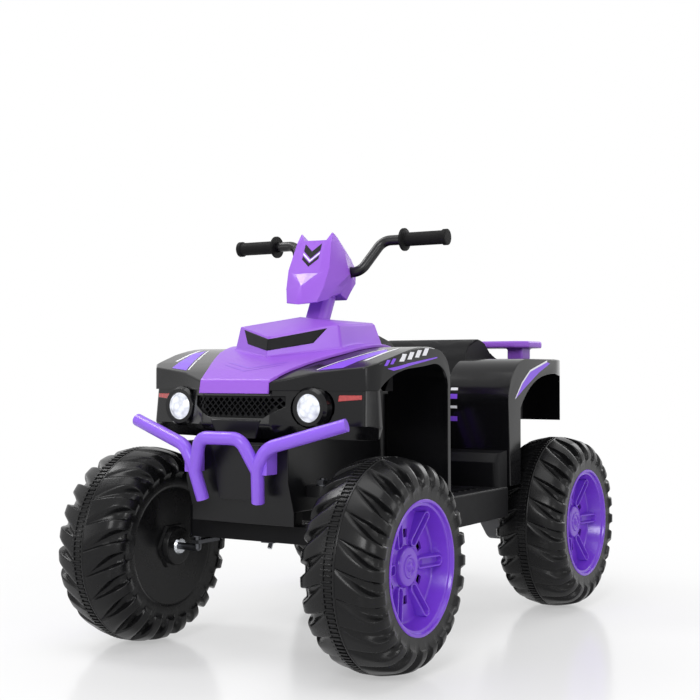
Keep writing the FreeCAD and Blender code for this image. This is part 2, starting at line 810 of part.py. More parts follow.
def steering_bush():
    """Bush in the tub's floor that carries the column."""
    outer = float(S.column_radius) + 9
    bore = float(S.column_radius) + float(S.bearing_gap)
    start = float(S.column_start) + float(S.arm_thickness) + 4
    ring = Part.makeCylinder(outer, 34, vec(0, 0, start)).cut(Part.makeCylinder(bore, 34, vec(0, 0, start)))
    steered(feature("steering_bush", ring))


def steering_neck():
    """Purple neck round the column, with a flat front, from below the hood into the steering head."""
    radius = float(S.neck_radius)
    start = float(S.neck_start)
    length = float(S.neck_length)
    tube = Part.makeCylinder(radius, length, vec(0, 0, start))
    bore = Part.makeCylinder(float(S.column_radius) + float(S.fit_gap), length, vec(0, 0, start))
    flat = block((-radius, -radius, start), (radius, -radius * 0.8, start + length))
    steered(feature("steering_neck", tube.cut(bore).cut(flat)))


# Half rings of the steering head from its chin to its horns: ridge, panel corner, front corner, side, rear.
# Each corner has its share of the half width, its place behind the steering axis and its share of the height.
# The chin's ring lies on the sloping bottom, so its heights are worked out.
HEAD_CHIN = ((0, -65), (0.2, -64.5), (0.58, -58), (0.71, -32), (0.69, -2))
HEAD_RINGS = (
    ((0, -72, 0.23), (0.06, -71.8, 0.23), (0.73, -60, 0.23), (0.81, -30, 0.36), (0.77, -2, 0.514)),
    ((0, -66.5, 0.43), (0.46, -66, 0.43), (0.81, -64, 0.5), (0.97, -14, 0.63), (0.89, -2, 0.657)),
    ((0, -70, 0.893), (0.42, -70, 0.893), (0.68, -70, 0.87), (0.8, -34, 0.88), (0.74, -2, 0.885)),
    ((0, -69, 1), (0.42, -69, 1), (0.63, -69, 1), (0.64, -60, 1), (0.63, -52, 1)),
)
HEAD_SLOPE = 0.86
HEAD_JOIN = -2
HEAD_DIP = 15


def whole_ring(half_ring):
    """A ring of corners from its left half, whose first corner is on the middle."""
    return [*half_ring, *[vec(-corner.x, corner.y, corner.z) for corner in half_ring[:0:-1]]]


def head_solid(inset):
    """Faceted steering head. With an inset it is the room inside, open to the rider."""
    half = float(S.head_width) / 2 - inset
    start = float(S.head_start)
    tall = float(S.head_height)
    reach = float(S.head_reach)
    chin = []
    for across, back in HEAD_CHIN:
        chin.append(vec(half * across, back + inset, start + (back + reach) * HEAD_SLOPE + inset * 1.3))
    rings = [chin]
    for ring in HEAD_RINGS[:3]:
        rings.append([vec(half * across, back + inset, start + tall * share) for across, back, share in ring])
    if inset:
        ceiling = start + tall - HEAD_DIP - inset
        rings[-1] = [vec(corner.x, corner.y, ceiling) for corner in rings[-1]]
    else:
        horns = HEAD_RINGS[3]
        rings.append([vec(half * across, back, start + tall * share) for across, back, share in horns])
    return ruled([whole_ring(ring) for ring in rings])


def head_holes():
    """Room for the handlebar and the neck in the steering head's shells."""
    bar = Part.makeCylinder(float(S.bar_radius) + 1, 200, vec(-100, 0, S.bar_level), X_AXIS)
    length = float(S.neck_length + S.fit_gap)
    neck = Part.makeCylinder(float(S.neck_radius + S.fit_gap), length, vec(0, 0, S.neck_start))
    return bar.fuse(neck)


def head_front():
    """Faceted front shell, open to the rider, with a horn each side of a dip in its top edge."""
    top = float(S.head_start + S.head_height)
    half = float(S.head_width) / 2
    low, high = half * 0.42, half * 0.6
    dip = [(-low, top - HEAD_DIP), (low, top - HEAD_DIP), (high, top + 1), (-high, top + 1)]
    notch = slab("Y", dip, -100, 40)
    behind = block((-half, HEAD_JOIN, S.head_start), (half, 40, top + 5))
    shell = head_solid(0).cut(head_solid(float(S.wall)))
    steered(feature("head_front", shell.cut(behind).cut(notch).cut(head_holes())))


def head_back():
    """Back shell of the steering head: a tapered tray that faces the rider and holds the switches."""
    wall = float(S.wall)
    half = float(S.head_width) / 2
    start = float(S.head_start)
    tall = float(S.head_height)
    low = start + (HEAD_JOIN + float(S.head_reach)) * HEAD_SLOPE
    middle = start + tall * 0.62
    edge = [(HEAD_CHIN[-1][0] * half, low)]
    rear_corners = [ring[-1] for ring in HEAD_RINGS[:3]]
    edge += [(across * half, start + tall * share) for across, _, share in rear_corners]
    outline = [*edge, *[(-across, up) for across, up in edge[::-1]]]

    def tray(inset, depth):
        ring = shrunk(outline, inset)
        front_ring = [vec(across, HEAD_JOIN, up) for across, up in ring]
        back_ring = [vec(across * 0.88, depth, middle + (up - middle) * 0.88) for across, up in ring]
        return ruled([front_ring, back_ring])

    shell = tray(0, float(S.head_depth)).cut(tray(wall, float(S.head_depth) - wall)).cut(head_holes())
    gap = float(S.fit_gap)
    radius = float(S.button_radius) + gap
    for across in (-BUTTON_ACROSS, BUTTON_ACROSS):
        shell = shell.cut(Part.makeCylinder(radius, 40, vec(across, 10, switch_level), Y_AXIS))
    reach = ROCKER_HALF_HEIGHT + ROCKER_GAP
    low = (-ROCKER_HALF_WIDTH - gap, 10, switch_level - reach)
    rocker_hole = block(low, (ROCKER_HALF_WIDTH + gap, 50, switch_level + reach))
    steered(feature("head_back", shell.cut(rocker_hole)))


def round_button(name, across):
    """Push button with a collar that keeps it behind the back shell."""
    radius = float(S.button_radius)
    face = float(S.head_depth + S.button_travel) + 1.5
    inside = float(S.head_depth - S.wall - S.fit_gap)
    stem = Part.makeCylinder(radius, face - inside + 3, vec(across, inside - 3, switch_level), Y_AXIS)
    rounded = stem.makeFillet(1.2, [edge for edge in stem.Edges if edge.BoundBox.YMin > face - 0.1])
    collar = Part.makeCylinder(radius + 2, 3, vec(across, inside - 3, switch_level), Y_AXIS)
    steered(feature(name, rounded.fuse(collar)))


def rocker_switch():
    """Two-way rocker with a ridge across its middle and a short round pivot each side."""
    depth = float(S.head_depth)
    tall = ROCKER_HALF_HEIGHT
    outline = [
        (depth - 9, switch_level - tall + 3),
        (depth + 4, switch_level - tall),
        (depth + 2, switch_level),
        (depth + 4, switch_level + tall),
        (depth - 9, switch_level + tall - 3),
    ]
    rocker = slab("X", outline, -ROCKER_HALF_WIDTH, ROCKER_HALF_WIDTH)
    reach = ROCKER_HALF_WIDTH + 2
    pivot = Part.makeCylinder(2.5, reach * 2, vec(-reach, depth - ROCKER_PIVOT, switch_level), X_AXIS)
    steered(feature("direction_rocker", rocker.fuse(pivot)))


def handlebar():
    """One bent tube: straight through the clamp, up to the knees and out to the grips."""
    level = float(S.bar_level)
    grip_level = level + float(S.bar_rise)
    half = float(S.bar_half) - 2
    root = float(S.bar_root)
    knee = float(S.bar_knee)
    right = [(root, level), (knee, grip_level), (half, grip_level)]
    left = [(-across, up) for across, up in right[::-1]]
    corners = [vec(across, 0, up) for across, up in [*left, *right]]
    steered(feature("handlebar", bent_tube(corners, S.bar_radius, 24)))


def grip_body(name, side):
    """Rubber grip: flange, ribbed sleeve and closed end, turned about the handlebar."""
    end = S.bar_half
    start = end - S.grip_length
    bore = S.bar_radius + S.bearing_gap
    profile = [
        (start, bore),
        (start, S.flange_radius),
        (start + 4, S.flange_radius),
        (start + 6, S.grip_radius),
        (end - 10, S.grip_radius),
        (end - 8, S.grip_radius + 2),
        (end - 1, S.grip_radius + 2),
        (end, S.grip_radius),
        (end, 0),
        (end - 2 + S.bearing_gap, 0),
        (end - 2 + S.bearing_gap, bore),
    ]
    body = keep(name, turned_body(name, profile))
    grip_level = float(S.bar_level) + float(S.bar_rise)
    turn = FreeCAD.Rotation(Z_AXIS, 0 if side > 0 else 180)
    body.Placement = FreeCAD.Placement(steer_point(0, 0, grip_level), steer_turn.multiply(turn))


# Lower body

deck = over(S.deck_height)
board_low = over(S.board_clear)
board_high = board_low + S.board_height
board_front = front(-S.board_start)
board_back = rear(-S.rear_front + 8)
PEDAL_EAR = 7


def shoulder_points(lift):
    """Top line of the front body from the nose to the head of the fender's rear wall, at x = 0."""
    tail = S.fender_back
    line_points = [
        (S.nose_reach + 3, S.shoulder_nose),
        (S.lamp_reach - 6, S.shoulder_brow),
        (-(S.crest_back * 0.37), S.shoulder_mid),
        (-S.crest_back, S.shoulder_crest),
        (-(tail - 20), S.shoulder_crest - 17),
        (-(tail - 4), S.shoulder_crest - 50),
    ]
    return [vec(0, front(ahead), over(height + lift)) for ahead, height in line_points]


def tub_outline():
    """Side view of the tub: sloped lower front panel, stepped floor, open top."""
    reach = S.panel_reach
    wall_top = S.shoulder_crest - 14
    return [
        (front(reach - 16), over(S.front_floor)),
        (front(reach), over(S.panel_top - 62)),
        (front(reach), over(S.panel_top)),
        (front(S.lamp_reach - 4), over(S.panel_top)),
        (front(0), over(S.shoulder_brow - 28)),
        (front(-40), over(S.shoulder_mid - 18)),
        (front(-S.crest_back), over(wall_top)),
        (front(-S.hood_back + 5), over(wall_top)),
        (front(-S.hood_back), over(S.deck_height + 20)),
        (front(-S.fender_back + 6), deck),
        (rear(100), deck),
        (rear(106), over(S.rear_floor + 60)),
        (rear(70), over(S.rear_floor)),
        (rear(-S.rear_front), over(S.rear_floor)),
        (rear(-S.rear_front - 12), over(S.mid_floor)),
        (front(-S.board_start + 4), over(S.mid_floor)),
        (front(-S.board_start + 16), over(S.front_floor)),
    ]


def chassis_tub():
    """Hollow lower body, with the raised middle of the lower front panel and holes for the column."""
    wall = float(S.wall)
    half = float(S.tub_half)
    outer = slab("X", tub_outline(), -half, half)
    inner = slab("X", shrunk(tub_outline(), wall), wall - half, half - wall)
    tub = outer.cut(inner).cut(inner.translated(vec(0, 0, wall * 2.5)))
    plate_low = over(S.front_floor + 17)
    plate_high = over(S.panel_top - 4)
    plate = [(-31, plate_low), (31, plate_low), (48, plate_high), (-48, plate_high)]
    shield = slab("Y", plate, front(S.panel_reach + 3), front(S.panel_reach - 14)).cut(inner)
    toe = front(S.panel_reach - 16)
    hem = over(S.front_floor - S.skirt_drop)
    skirt = block((-half, toe, hem), (half, toe + wall, over(S.front_floor) + wall))
    bush = Part.makeCylinder(float(S.column_radius) + 9 + float(S.fit_gap), 120, vec(0, 0, 0))
    bush.Placement = steer_frame
    tub = tub.multiFuse([shield, skirt]).cut(bush)
    for side in (1, -1):
        start = vec(side * (half - 12), rear(-S.motor_ahead), over(S.motor_up))
        motor = Part.makeCylinder(float(S.motor_radius) + 1, 30, start, X_AXIS * side)
        tub = tub.cut(motor)
    feature("chassis_tub", tub)


def side_panel():
    """Panel on the tub's side between the footwell and the seat."""
    low = over(S.board_clear + S.board_height + 2)
    ahead = front(-S.fender_back - 1)
    behind = rear(-S.rear_front - 2)
    outline = [
        (ahead, low),
        (behind, low),
        (behind, deck - 4),
        (ahead, deck - 4),
    ]
    start = float(S.tub_half)
    panel = slab("X", outline, start, start + float(S.side_panel_depth))
    edge = start + float(S.side_panel_depth) - 0.1
    rims = [item for item in panel.Edges if item.BoundBox.XMin > edge]
    feature("side_panels", pair_of(panel.makeChamfer(3, rims)))


def heel_wall():
    """Rounded step at the rear of a footwell, in front of the rear fender."""
    inner = float(S.tub_half + S.side_panel_depth + S.fit_gap)
    outer = float(S.side_half) - 3
    back = float(rear(-S.rear_front - S.fit_gap))
    ahead = back - float(S.heel_depth)
    low = float(board_high) - 2
    high = float(board_high + S.heel_height)
    outline = [(ahead + 4, low), (back, low), (back, high), (ahead + 16, high - 4), (ahead, high - 20)]
    step = slab("X", outline, inner, outer)
    bounds = [(item, item.BoundBox) for item in step.Edges]
    upright = [item for item, size in bounds if size.XMin > outer - 0.1 and size.YMax < back - 1]
    return step.makeFillet(10, upright)


def footboard_shape():
    """Hollow step with raised grip bars on its tread and a heel wall behind, open below."""
    wall = float(S.wall)
    start = float(S.tub_half)
    end = float(S.side_half)
    top = float(board_high)
    step = block((start, board_front, board_low), (end, board_back, top))
    bounds = [(item, item.BoundBox) for item in step.Edges]
    upright = [item for item, size in bounds if size.XMin > end - 0.1 and size.ZMin < size.ZMax]
    step = step.makeFillet(14, upright)
    bounds = [(item, item.BoundBox) for item in step.Edges]
    rim = [item for item, size in bounds if size.ZMin > top - 0.1 and size.XMax > start + 1]
    step = step.makeFillet(5, rim)
    hollow = block(
        (start + wall, board_front + wall, board_low - 1),
        (end - wall - 2, board_back - wall, board_high - wall),
    )
    step = step.cut(hollow)
    added = [heel_wall()]
    length = float(board_back - S.heel_depth) - float(board_front)
    for number in range(6):
        middle = float(board_front) + length * (0.18 + number * 0.12)
        added.append(block((start + 30, middle - 4, top - 1), (end - 24, middle + 4, top + 2)))
    return step.multiFuse(added)


def footboards():
    """Footboards, with ears for the pedal's pin on the right one."""
    feature("footboard_left", footboard_shape())
    shape = footboard_shape().mirror(vec(0, 0, 0), X_AXIS)
    ears = []
    middle = pedal_middle()
    gap = float(S.fit_gap)
    half = float(S.pedal_width) / 2 + gap
    top = float(board_high)
    for side in (1, -1):
        inner = middle.x + side * half
        outer = inner + side * PEDAL_EAR
        low = vec(min(inner, outer), middle.y - 8, top - 2)
        ears.append(block(low, vec(max(inner, outer), middle.y + 8, middle.z + 7)))
    reach = half + PEDAL_EAR + 5
    bore = Part.makeCylinder(float(S.pedal_pin), reach * 2, vec(middle.x - reach, middle.y, middle.z), X_AXIS)
    bars_below = block(
        (middle.x - half, middle.y - float(S.pedal_length) - 12, top),
        (middle.x + half, middle.y + 14, top + 20),
    )
    feature("footboard_right", shape.multiFuse(ears).cut(bore).cut(bars_below))


def pedal_middle():
    """Middle of the pedal's hinge on the right footboard."""
    across = -(float(S.tub_half) + float(S.side_half)) / 2
    return vec(across, float(board_front) + float(S.pedal_length) + 40, float(board_high) + 9)


def accelerator_pedal():
    """Sloped pedal with a barrel round its pin."""
    middle = pedal_middle()
    pin = float(S.pedal_pin)
    half = float(S.pedal_width) / 2
    length = float(S.pedal_length)
    slope = math.radians(24)
    rise = math.sin(slope) * length
    run = math.cos(slope) * length
    outline = [
        (middle.y, middle.z - 3),
        (middle.y - run, middle.z + rise - 3),
        (middle.y - run + 2, middle.z + rise + 5),
        (middle.y, middle.z + 6),
    ]
    plate = slab("X", outline, middle.x - half, middle.x + half)
    barrel = Part.makeCylinder(pin + 4, half * 2, vec(middle.x - half, middle.y, middle.z), X_AXIS)
    bore_radius = pin + float(S.bearing_gap)
    bore = Part.makeCylinder(bore_radius, half * 2, vec(middle.x - half, middle.y, middle.z), X_AXIS)
    feature("accelerator_pedal", plate.fuse(barrel).cut(bore))
    reach = half * 2 + PEDAL_EAR * 2 + float(S.fit_gap) * 2
    feature("pedal_pin", Part.makeCylinder(pin, reach, vec(middle.x - reach / 2, middle.y, middle.z), X_AXIS))


# Front body

GRILLE_RIM = 3
SCOOP_OUT = 1.5
REFLECTOR_OUT = 1.5


def plan_outline(inset):
    """Front body seen from above, left half, from the nose round to the fender's rear."""
    return [
        (S.nose_half, front(S.nose_reach - inset)),
        (S.lamp_half - inset * 0.3, front(S.lamp_reach - inset)),
        (S.corner_half - inset * 0.5, front(S.corner_reach - inset)),
        (S.flank_half - inset, front(-S.flank_back - inset * 0.5)),
        (S.side_half - inset, front(-S.crest_back * 0.4)),
    ]


def arch_points():
    """Lower lip of the fender's side band over the wheel, at x = 0, from the front to the rear wall."""
    band = S.fender_band
    lip = [
        (-S.flank_back, S.fascia_top),
        (-S.flank_back - 56, S.shoulder_mid - band + 2),
        (-S.crest_back + 13, S.shoulder_crest - band - 2),
        (-S.crest_back - 29, S.shoulder_crest - band),
        (-S.fender_back + 22, S.shoulder_crest - 43),
        (-S.fender_back + 13, S.shoulder_crest - 71),
    ]
    return [vec(0, front(ahead), over(height)) for ahead, height in lip]


def fender_side_face():
    """Side view of the fender: top line, rear wall and arch."""
    top = shoulder_points(0)
    arch = arch_points()
    foot_back = vec(0, front(-S.fender_back), board_high)
    foot_front = vec(0, arch[-1].y, board_high)
    nose = vec(0, top[0].y, over(S.fascia_top))
    edges = [
        curve(top),
        line(top[-1], foot_back),
        line(foot_back, foot_front),
        line(foot_front, arch[-1]),
        curve(arch[::-1]),
        line(arch[0], nose),
        line(nose, top[0]),
    ]
    return Part.Face(Part.Wire(edges))


def fender_hollow_face():
    """Side view of the room below the fender's sheet."""
    wall = float(S.wall)
    top = shoulder_points(-wall)
    top[-1] = vec(0, front(-S.fender_back + wall), top[-1].z)
    foot_back = vec(0, front(-S.fender_back + wall), float(board_high) - 5)
    foot_front = vec(0, top[0].y - 20, float(board_high) - 5)
    nose = vec(0, top[0].y - 20, top[0].z)
    edges = [
        curve(top),
        line(top[-1], foot_back),
        line(foot_back, foot_front),
        line(foot_front, nose),
        line(nose, top[0]),
    ]
    return Part.Face(Part.Wire(edges))


def front_fenders():
    """Fender sheet, side band, front band and rear splash wall in one shell."""
    wall = float(S.wall)
    gap = float(S.fit_gap)
    inner_x = float(S.nose_half) - 7
    rear_y = front(-S.fender_back)
    reach = vec(float(S.side_half) + 20, 0, 0)
    outline = plan_outline(0)
    plan = [*outline, (S.side_half, rear_y + 1), (inner_x, rear_y + 1), (inner_x, front(S.nose_reach))]
    low = float(board_high) - 10
    high = float(over(S.shoulder_crest)) + 20
    solid = fender_side_face().extrude(reach).common(slab("Z", plan, low, high))
    inside = plan_outline(wall)
    hollow_plan = [*inside, (S.side_half - wall, rear_y + 1), (0, rear_y + 1)]
    hollow_plan.append((0, front(S.nose_reach - wall)))
    hollow = fender_hollow_face().extrude(reach).common(slab("Z", hollow_plan, low, high))
    tub_side = block(
        (0, front(S.lamp_reach - 4), low),
        (float(S.tub_half) + float(S.side_panel_depth) + gap, rear_y + 5, over(S.deck_height + 22)),
    )
    cover_room = block(
        (0, front(-S.hood_back), over(S.deck_height)),
        (S.cover_half + gap, rear_y + 5, high),
    )
    left = feature("front_fender_left", solid.cut(hollow).cut(tub_side).cut(cover_room).cut(lamp_room(1)))
    mirrored("front_fender_right", left)


def lamp_room(side):
    """Hole for a headlight through fascia and fender."""
    start = vec(side * float(S.lamp_half), front(S.nose_reach + 20), over(S.lamp_height))
    return Part.makeCylinder(float(S.bezel_radius + S.fit_gap), 90, start, Y_AXIS)


def fascia_solid(inset, extra):
    """Front wall from its tucked-in lower edge over the crease to its lap behind the fenders' front band."""
    brow = S.wall + S.fit_gap
    levels = (
        # height, inset, behind, share of the width
        (S.fascia_bottom - extra, 0, S.fascia_tuck, 0.97),
        (S.fascia_crease, 0, 0, 1),
        (S.fascia_top - 0.3, brow, 0, 1),
        (S.fascia_top + S.fascia_lap + extra, brow, 0, 1),
    )
    back = front(-S.flank_back - 14)
    rings = []
    for height, step, behind, share in levels:
        corners = zip(plan_outline(inset + step)[:4], (1, 1, 0.75, 0.5))
        side = [(across * share, y + behind * part) for (across, y), part in corners]
        side.append((side[-1][0] - 1, back))
        ring = [*side, *[(-across, y) for across, y in side[::-1]]]
        rings.append([vec(across, y, over(height)) for across, y in ring])
    return ruled(rings)


def front_fascia():
    """Front wall below the fenders, swept back to the sides, with room for lamps and grille."""
    wall = float(S.wall)
    gap = float(S.fit_gap)
    outer = fascia_solid(0, 0)
    back = front(-S.flank_back - 14)
    low = over(S.fascia_bottom) - 2
    high = over(S.fascia_top + S.fascia_lap) + 2
    return_wall = block((-S.side_half, back - wall, low), (S.side_half, back, over(S.fascia_top) - gap))
    tub_room = block((-S.tub_half - gap, front(S.lamp_reach - 4), low), (S.tub_half + gap, back + 20, high))
    shell = outer.cut(fascia_solid(S.wall, 1)).fuse(return_wall.common(outer)).cut(tub_room)
    mouth = slab("Y", grille_outline(6), front(S.nose_reach + 20), front(S.lamp_reach - 10))
    tools = [lamp_room(1), lamp_room(-1), mouth, side_reflector(10, wall / 2)]
    tools.append(tools[-1].mirror(vec(0, 0, 0), X_AXIS))
    feature("front_fascia", shell.cut(Part.makeCompound(tools)))


def grille_outline(shrink):
    """Six-sided mouth between the headlights."""
    top = over(S.fascia_top - 3) - shrink
    low = over(S.lamp_height - 22) + shrink
    middle = over(S.lamp_height + 2)
    inner = S.nose_half - 14
    outer = S.lamp_half - S.bezel_radius - 2 - shrink
    return [(-outer, middle), (-inner, low), (inner, low), (outer, middle), (outer, top), (-outer, top)]


def grille():
    """Diamond mesh that follows the inside of the fascia behind its mouth."""
    pitch = float(S.mesh_pitch)
    half = (pitch - float(S.mesh_bar)) / 2
    ahead = front(S.nose_reach + 20)
    behind = front(S.lamp_reach - 10)
    start = S.wall + S.fit_gap
    plate = fascia_solid(start, 0).cut(fascia_solid(start + S.mesh_depth, 1))
    plate = plate.common(slab("Y", grille_outline(0), ahead, behind))
    corners = [place("Y", 0, pair) for pair in shrunk(grille_outline(0), GRILLE_RIM)]
    room = Part.Face(Part.makePolygon([*corners, corners[0]]))
    size = room.BoundBox
    rows = math.ceil(size.ZLength / pitch)
    columns = math.ceil(size.XLength / pitch)
    holes = []
    for row in range(-rows, rows + 1):
        for column in range(-columns, columns + 1):
            if (row + column) % 2:
                continue
            x = column * pitch / 2
            z = size.Center.z + row * pitch / 2
            tips = [(x - half, z), (x, z - half), (x + half, z), (x, z + half)]
            if all(room.isInside(place("Y", 0, tip), 0.01, True) for tip in tips):
                holes.append(slab("Y", tips, ahead, behind))
    feature("grille", plate.cut(Part.makeCompound(holes)))


def lamp_bodies():
    """Bezel, reflector bowl and lens of each headlight, turned about an axis that points forward."""
    nose = S.lamp_reach + 14
    bore = S.lamp_radius + S.fit_gap
    bezel = [
        (nose - 20, bore),
        (nose - 20, S.bezel_radius),
        (nose - 6, S.bezel_radius),
        (nose, S.bezel_radius - 4),
        (nose, S.lamp_radius - 1),
        (nose - 3, S.lamp_radius - 1),
        (nose - 3, bore),
    ]
    lens = [
        (nose - 8, 0),
        (nose - 8, S.lamp_radius),
        (nose - 3, S.lamp_radius),
        (nose - 3, S.lamp_radius - 2),
        (nose + 2, S.lamp_radius * 0.6),
        (nose + 3, 0),
    ]
    bowl = [
        (nose - 34, 0),
        (nose - 34, 7),
        (nose - 8, S.lamp_radius - 2),
        (nose - 8, S.lamp_radius),
        (nose - 11, S.lamp_radius),
        (nose - 37, 9),
        (nose - 37, 0),
    ]
    forward = FreeCAD.Rotation(Z_AXIS, -90)
    profiles = {"headlight_bezels": bezel, "headlight_bowls": bowl, "headlight_lenses": lens}
    for prefix, profile in profiles.items():
        pair = []
        for side in (1, -1):
            body = turned_body(f"{prefix}_{side}", profile)
            body.Placement.Rotation = forward
            bind(body, **at(S.lamp_half * side, front(0), over(S.lamp_height)))
            pair.append(body)
        group(prefix, *pair)


def hood_plan():
    """Hood seen from above, left half."""
    return [
        (S.nose_half, front(S.nose_reach + 3)),
        (S.hood_half * 0.565, front(S.lamp_reach - 6)),
        (S.hood_half * 0.856, front(-S.crest_back * 0.37)),
        (S.hood_half, front(-S.crest_back * 0.78)),
        (S.hood_half - 6, front(-S.hood_back)),
    ]


def hump_corners(inset):
    """Left corners of the hood's hump: base ring and top ring from the scoop's tip to the rear."""
    half = float(S.hump_half) - inset
    top = float(over(S.hump_height)) - inset
    sheet_top = float(over(S.shoulder_crest))
    tip = float(front(-20)) + inset * 2
    wing = float(front(-80)) + inset * 2
    back = float(front(-S.hood_back)) - inset
    base = [
        vec(0, tip, sheet_top - 20),
        vec(half, wing, sheet_top - 20),
        vec(half + 12, back, sheet_top - 20),
        vec(0, back, sheet_top - 20),
    ]
    crown = [
        vec(0, tip + 8, top - 36),
        vec(half - 11, wing + 6, top - 16),
        vec(half - 14, back, top - 10),
        vec(0, back, top - 4),
        vec(0, (tip + back) / 2 + 10, top),
    ]
    return base, crown


def hump_solid(inset):
    """Half hump from flat facets, then both halves."""
    base, (tip, wing, tail, back, peak) = hump_corners(inset)

    def facet(*points):
        return Part.Face(Part.makePolygon([*points, points[0]]))

    faces = [facet(base[0], base[1], base[2]), facet(base[0], base[2], base[3])]
    faces += [facet(tip, wing, peak), facet(wing, tail, peak), facet(tail, back, peak)]
    faces.append(facet(base[3], base[0], tip, peak, back))
    for low, low_after, high, high_after in zip(base, base[1:], (tip, wing, tail), (wing, tail, back)):
        faces.append(facet(low, low_after, high_after))
        faces.append(facet(low, high_after, high))
    return both_sides(Part.Solid(Part.makeShell(faces)))


def hood():
    """Purple sheet on the fenders with a folded front lip and a hollow hump."""
    sheet_depth = float(S.hood_sheet)
    wall = float(S.wall)
    lower = shoulder_points(0)
    upper = shoulder_points(sheet_depth)
    band = [curve(lower), line(lower[-1], upper[-1]), curve(upper[::-1]), line(upper[0], lower[0])]
    half_plan = hood_plan()
    plan = [*half_plan, *[(-across, y) for across, y in half_plan[::-1]]]
    reach = float(S.hood_half) + 10
    face = Part.Face(Part.Wire(band)).translated(vec(-reach, 0, 0))
    low = float(over(S.fascia_bottom))
    high = float(over(S.hump_height)) + 50
    plan_prism = slab("Z", plan, low, high)
    cover_sheet = face.extrude(vec(reach * 2, 0, 0)).common(plan_prism)
    lip_top = upper[0].z
    lip = slab(
        "X",
        [
            (lower[0].y - wall, over(S.fascia_top - 5)),
            (lower[0].y, over(S.fascia_top - 5)),
            (lower[0].y + 0.5, lip_top - 2),
            (lower[0].y, lip_top),
        ],
        -float(S.nose_half),
        float(S.nose_half),
    )
    under = Part.Face(Part.Wire([
        curve(lower),
        line(lower[-1], vec(0, lower[-1].y, low)),
        line(vec(0, lower[-1].y, low), vec(0, lower[0].y, low)),
        line(vec(0, lower[0].y, low), lower[0]),
    ])).translated(vec(-reach, 0, 0)).extrude(vec(reach * 2, 0, 0))
    hump = hump_solid(0).cut(under)
    room = hump_solid(wall)
    neck = Part.makeCylinder(float(S.neck_radius) + 3, 500, vec(0, 0, 100))
    neck.Placement = steer_frame
    recess = scoop_plate(30, wall / 2)
    feature("hood", cover_sheet.multiFuse([lip, hump]).cut(room).cut(neck).cut(recess))


# left half of the scoop plate: share of the hump's front edge, share of the hump's height
SCOOP = ((0, 0.19), (0.59, 0.36), (0.75, 0.7), (0, 0.45))


def scoop_plate(out, back):
    """V-shaped plate on the hump's front, from so far ahead of its face to so far behind it."""
    base, crown = hump_corners(0)
    tall = float(over(S.hump_height)) - base[0].z
    slant = (crown[0] - base[0]) / (crown[0].z - base[0].z)
    points = [base[0] + (base[1] - base[0]) * share + slant * (tall * rise) for share, rise in SCOOP]
    ahead = [point - Y_AXIS * out for point in points]
    behind = [point + Y_AXIS * back for point in points]
    return both_sides(ruled([ahead, behind]))


def scoop_insert():
    feature("scoop_insert", scoop_plate(SCOOP_OUT, float(S.wall) / 2))


def side_reflector(out, back):
    """Red reflector on the fascia between headlight and corner, from so far out to so far in."""
    lamp, corner = [vec(across, y, 0) for across, y in plan_outline(0)[1:3]]
    along = corner - lamp
    outward = along.cross(Z_AXIS).normalize()
    if outward.y > 0:
        outward = -outward
    low = float(S.lamp_height + 10)
    high = float(S.lamp_height + 20)
    points = []
    for share, height in ((0.48, low), (0.94, low + 3), (0.94, high), (0.5, high)):
        rise = (height - float(S.fascia_crease)) / float(S.fascia_top - S.fascia_crease)
        lean = outward * (-rise * float(S.wall + S.fit_gap))
        points.append(lamp + along * share + lean + vec(0, 0, over(height)))
    return ruled([[p + outward * out for p in points], [p - outward * back for p in points]])


def side_reflectors():
    feature("side_reflectors", pair_of(side_reflector(REFLECTOR_OUT, float(S.wall) / 2)))


def bull_bar():
    """Purple bent tube: a swept arm each side, a raised hoop in the middle and two fins to the tub."""
    arm = [
        vec(S.bull_half, front(S.panel_reach - 2), over(S.bull_tip)),
        vec(S.bull_knee, front(S.bull_reach), over(S.panel_top - 6)),
        vec(S.bull_leg, front(S.bull_reach + 1), over(S.panel_top - 34)),
        vec(S.bull_foot, front(S.bull_reach - 14), over(S.panel_top - 92)),
    ]
    hoop_left = [
        vec(S.bull_leg - 2, front(S.bull_reach - 3), over(S.panel_top - 44)),
        vec(S.hoop_half, front(S.bull_reach + 13), over(S.panel_top + 8)),
    ]
    hoop_right = [vec(-corner.x, corner.y, corner.z) for corner in hoop_left[::-1]]
    fin = block(
        (S.bull_leg - 1, front(S.bull_reach), over(S.panel_top - 48)),
        (S.bull_knee, front(S.panel_reach), over(S.panel_top - 13)),
    )
    side = bent_tube(arm, S.bull_radius, S.bull_bend).fuse(fin)
    hoop = bent_tube([*hoop_left, *hoop_right], S.bull_radius, S.hoop_bend)
    feature("bull_bar", both_sides(side).fuse(hoop).removeSplitter())


def centre_cover():
    """Dark cover that falls from the hood to the seat."""
    wall = float(S.wall)
    half = float(S.cover_half)
    start = float(front(-S.hood_back)) + float(S.fit_gap)
    peak = float(front(-S.fender_back)) + float(S.fit_gap)
    end = start + float(S.cover_length)
    crest = float(over(S.cover_top))
    low = float(deck)

    def hull(inset):
        stations = ((start, half, crest - 6), (peak + 10, half, crest), (end, half - 19, low + 15))
        sections = []
        for y, reach, top in stations:
            right = [
                (float(S.tub_half) - inset, low),
                (reach - inset, low + (top - low) * 0.4),
                (reach - 10 - inset, low + (top - low) * 0.86 - inset),
                (reach - 38 - inset, top - inset),
            ]
            ring = [*right, *[(-across, up) for across, up in right[::-1]]]
            sections.append([vec(across, y, up) for across, up in ring])
        return ruled(sections)

    room = hull(wall).common(block((-half, start + wall, low - 5), (half, end - wall, crest)))
    ledge = block((-half - 5, start - 5, low - 5), (half + 5, peak, over(S.deck_height + 24)))
    neck = Part.makeCylinder(float(S.neck_radius) + 3, 500, vec(0, 0, 100))
    neck.Placement = steer_frame
    feature("centre_cover", hull(0).cut(room).cut(ledge).cut(neck))


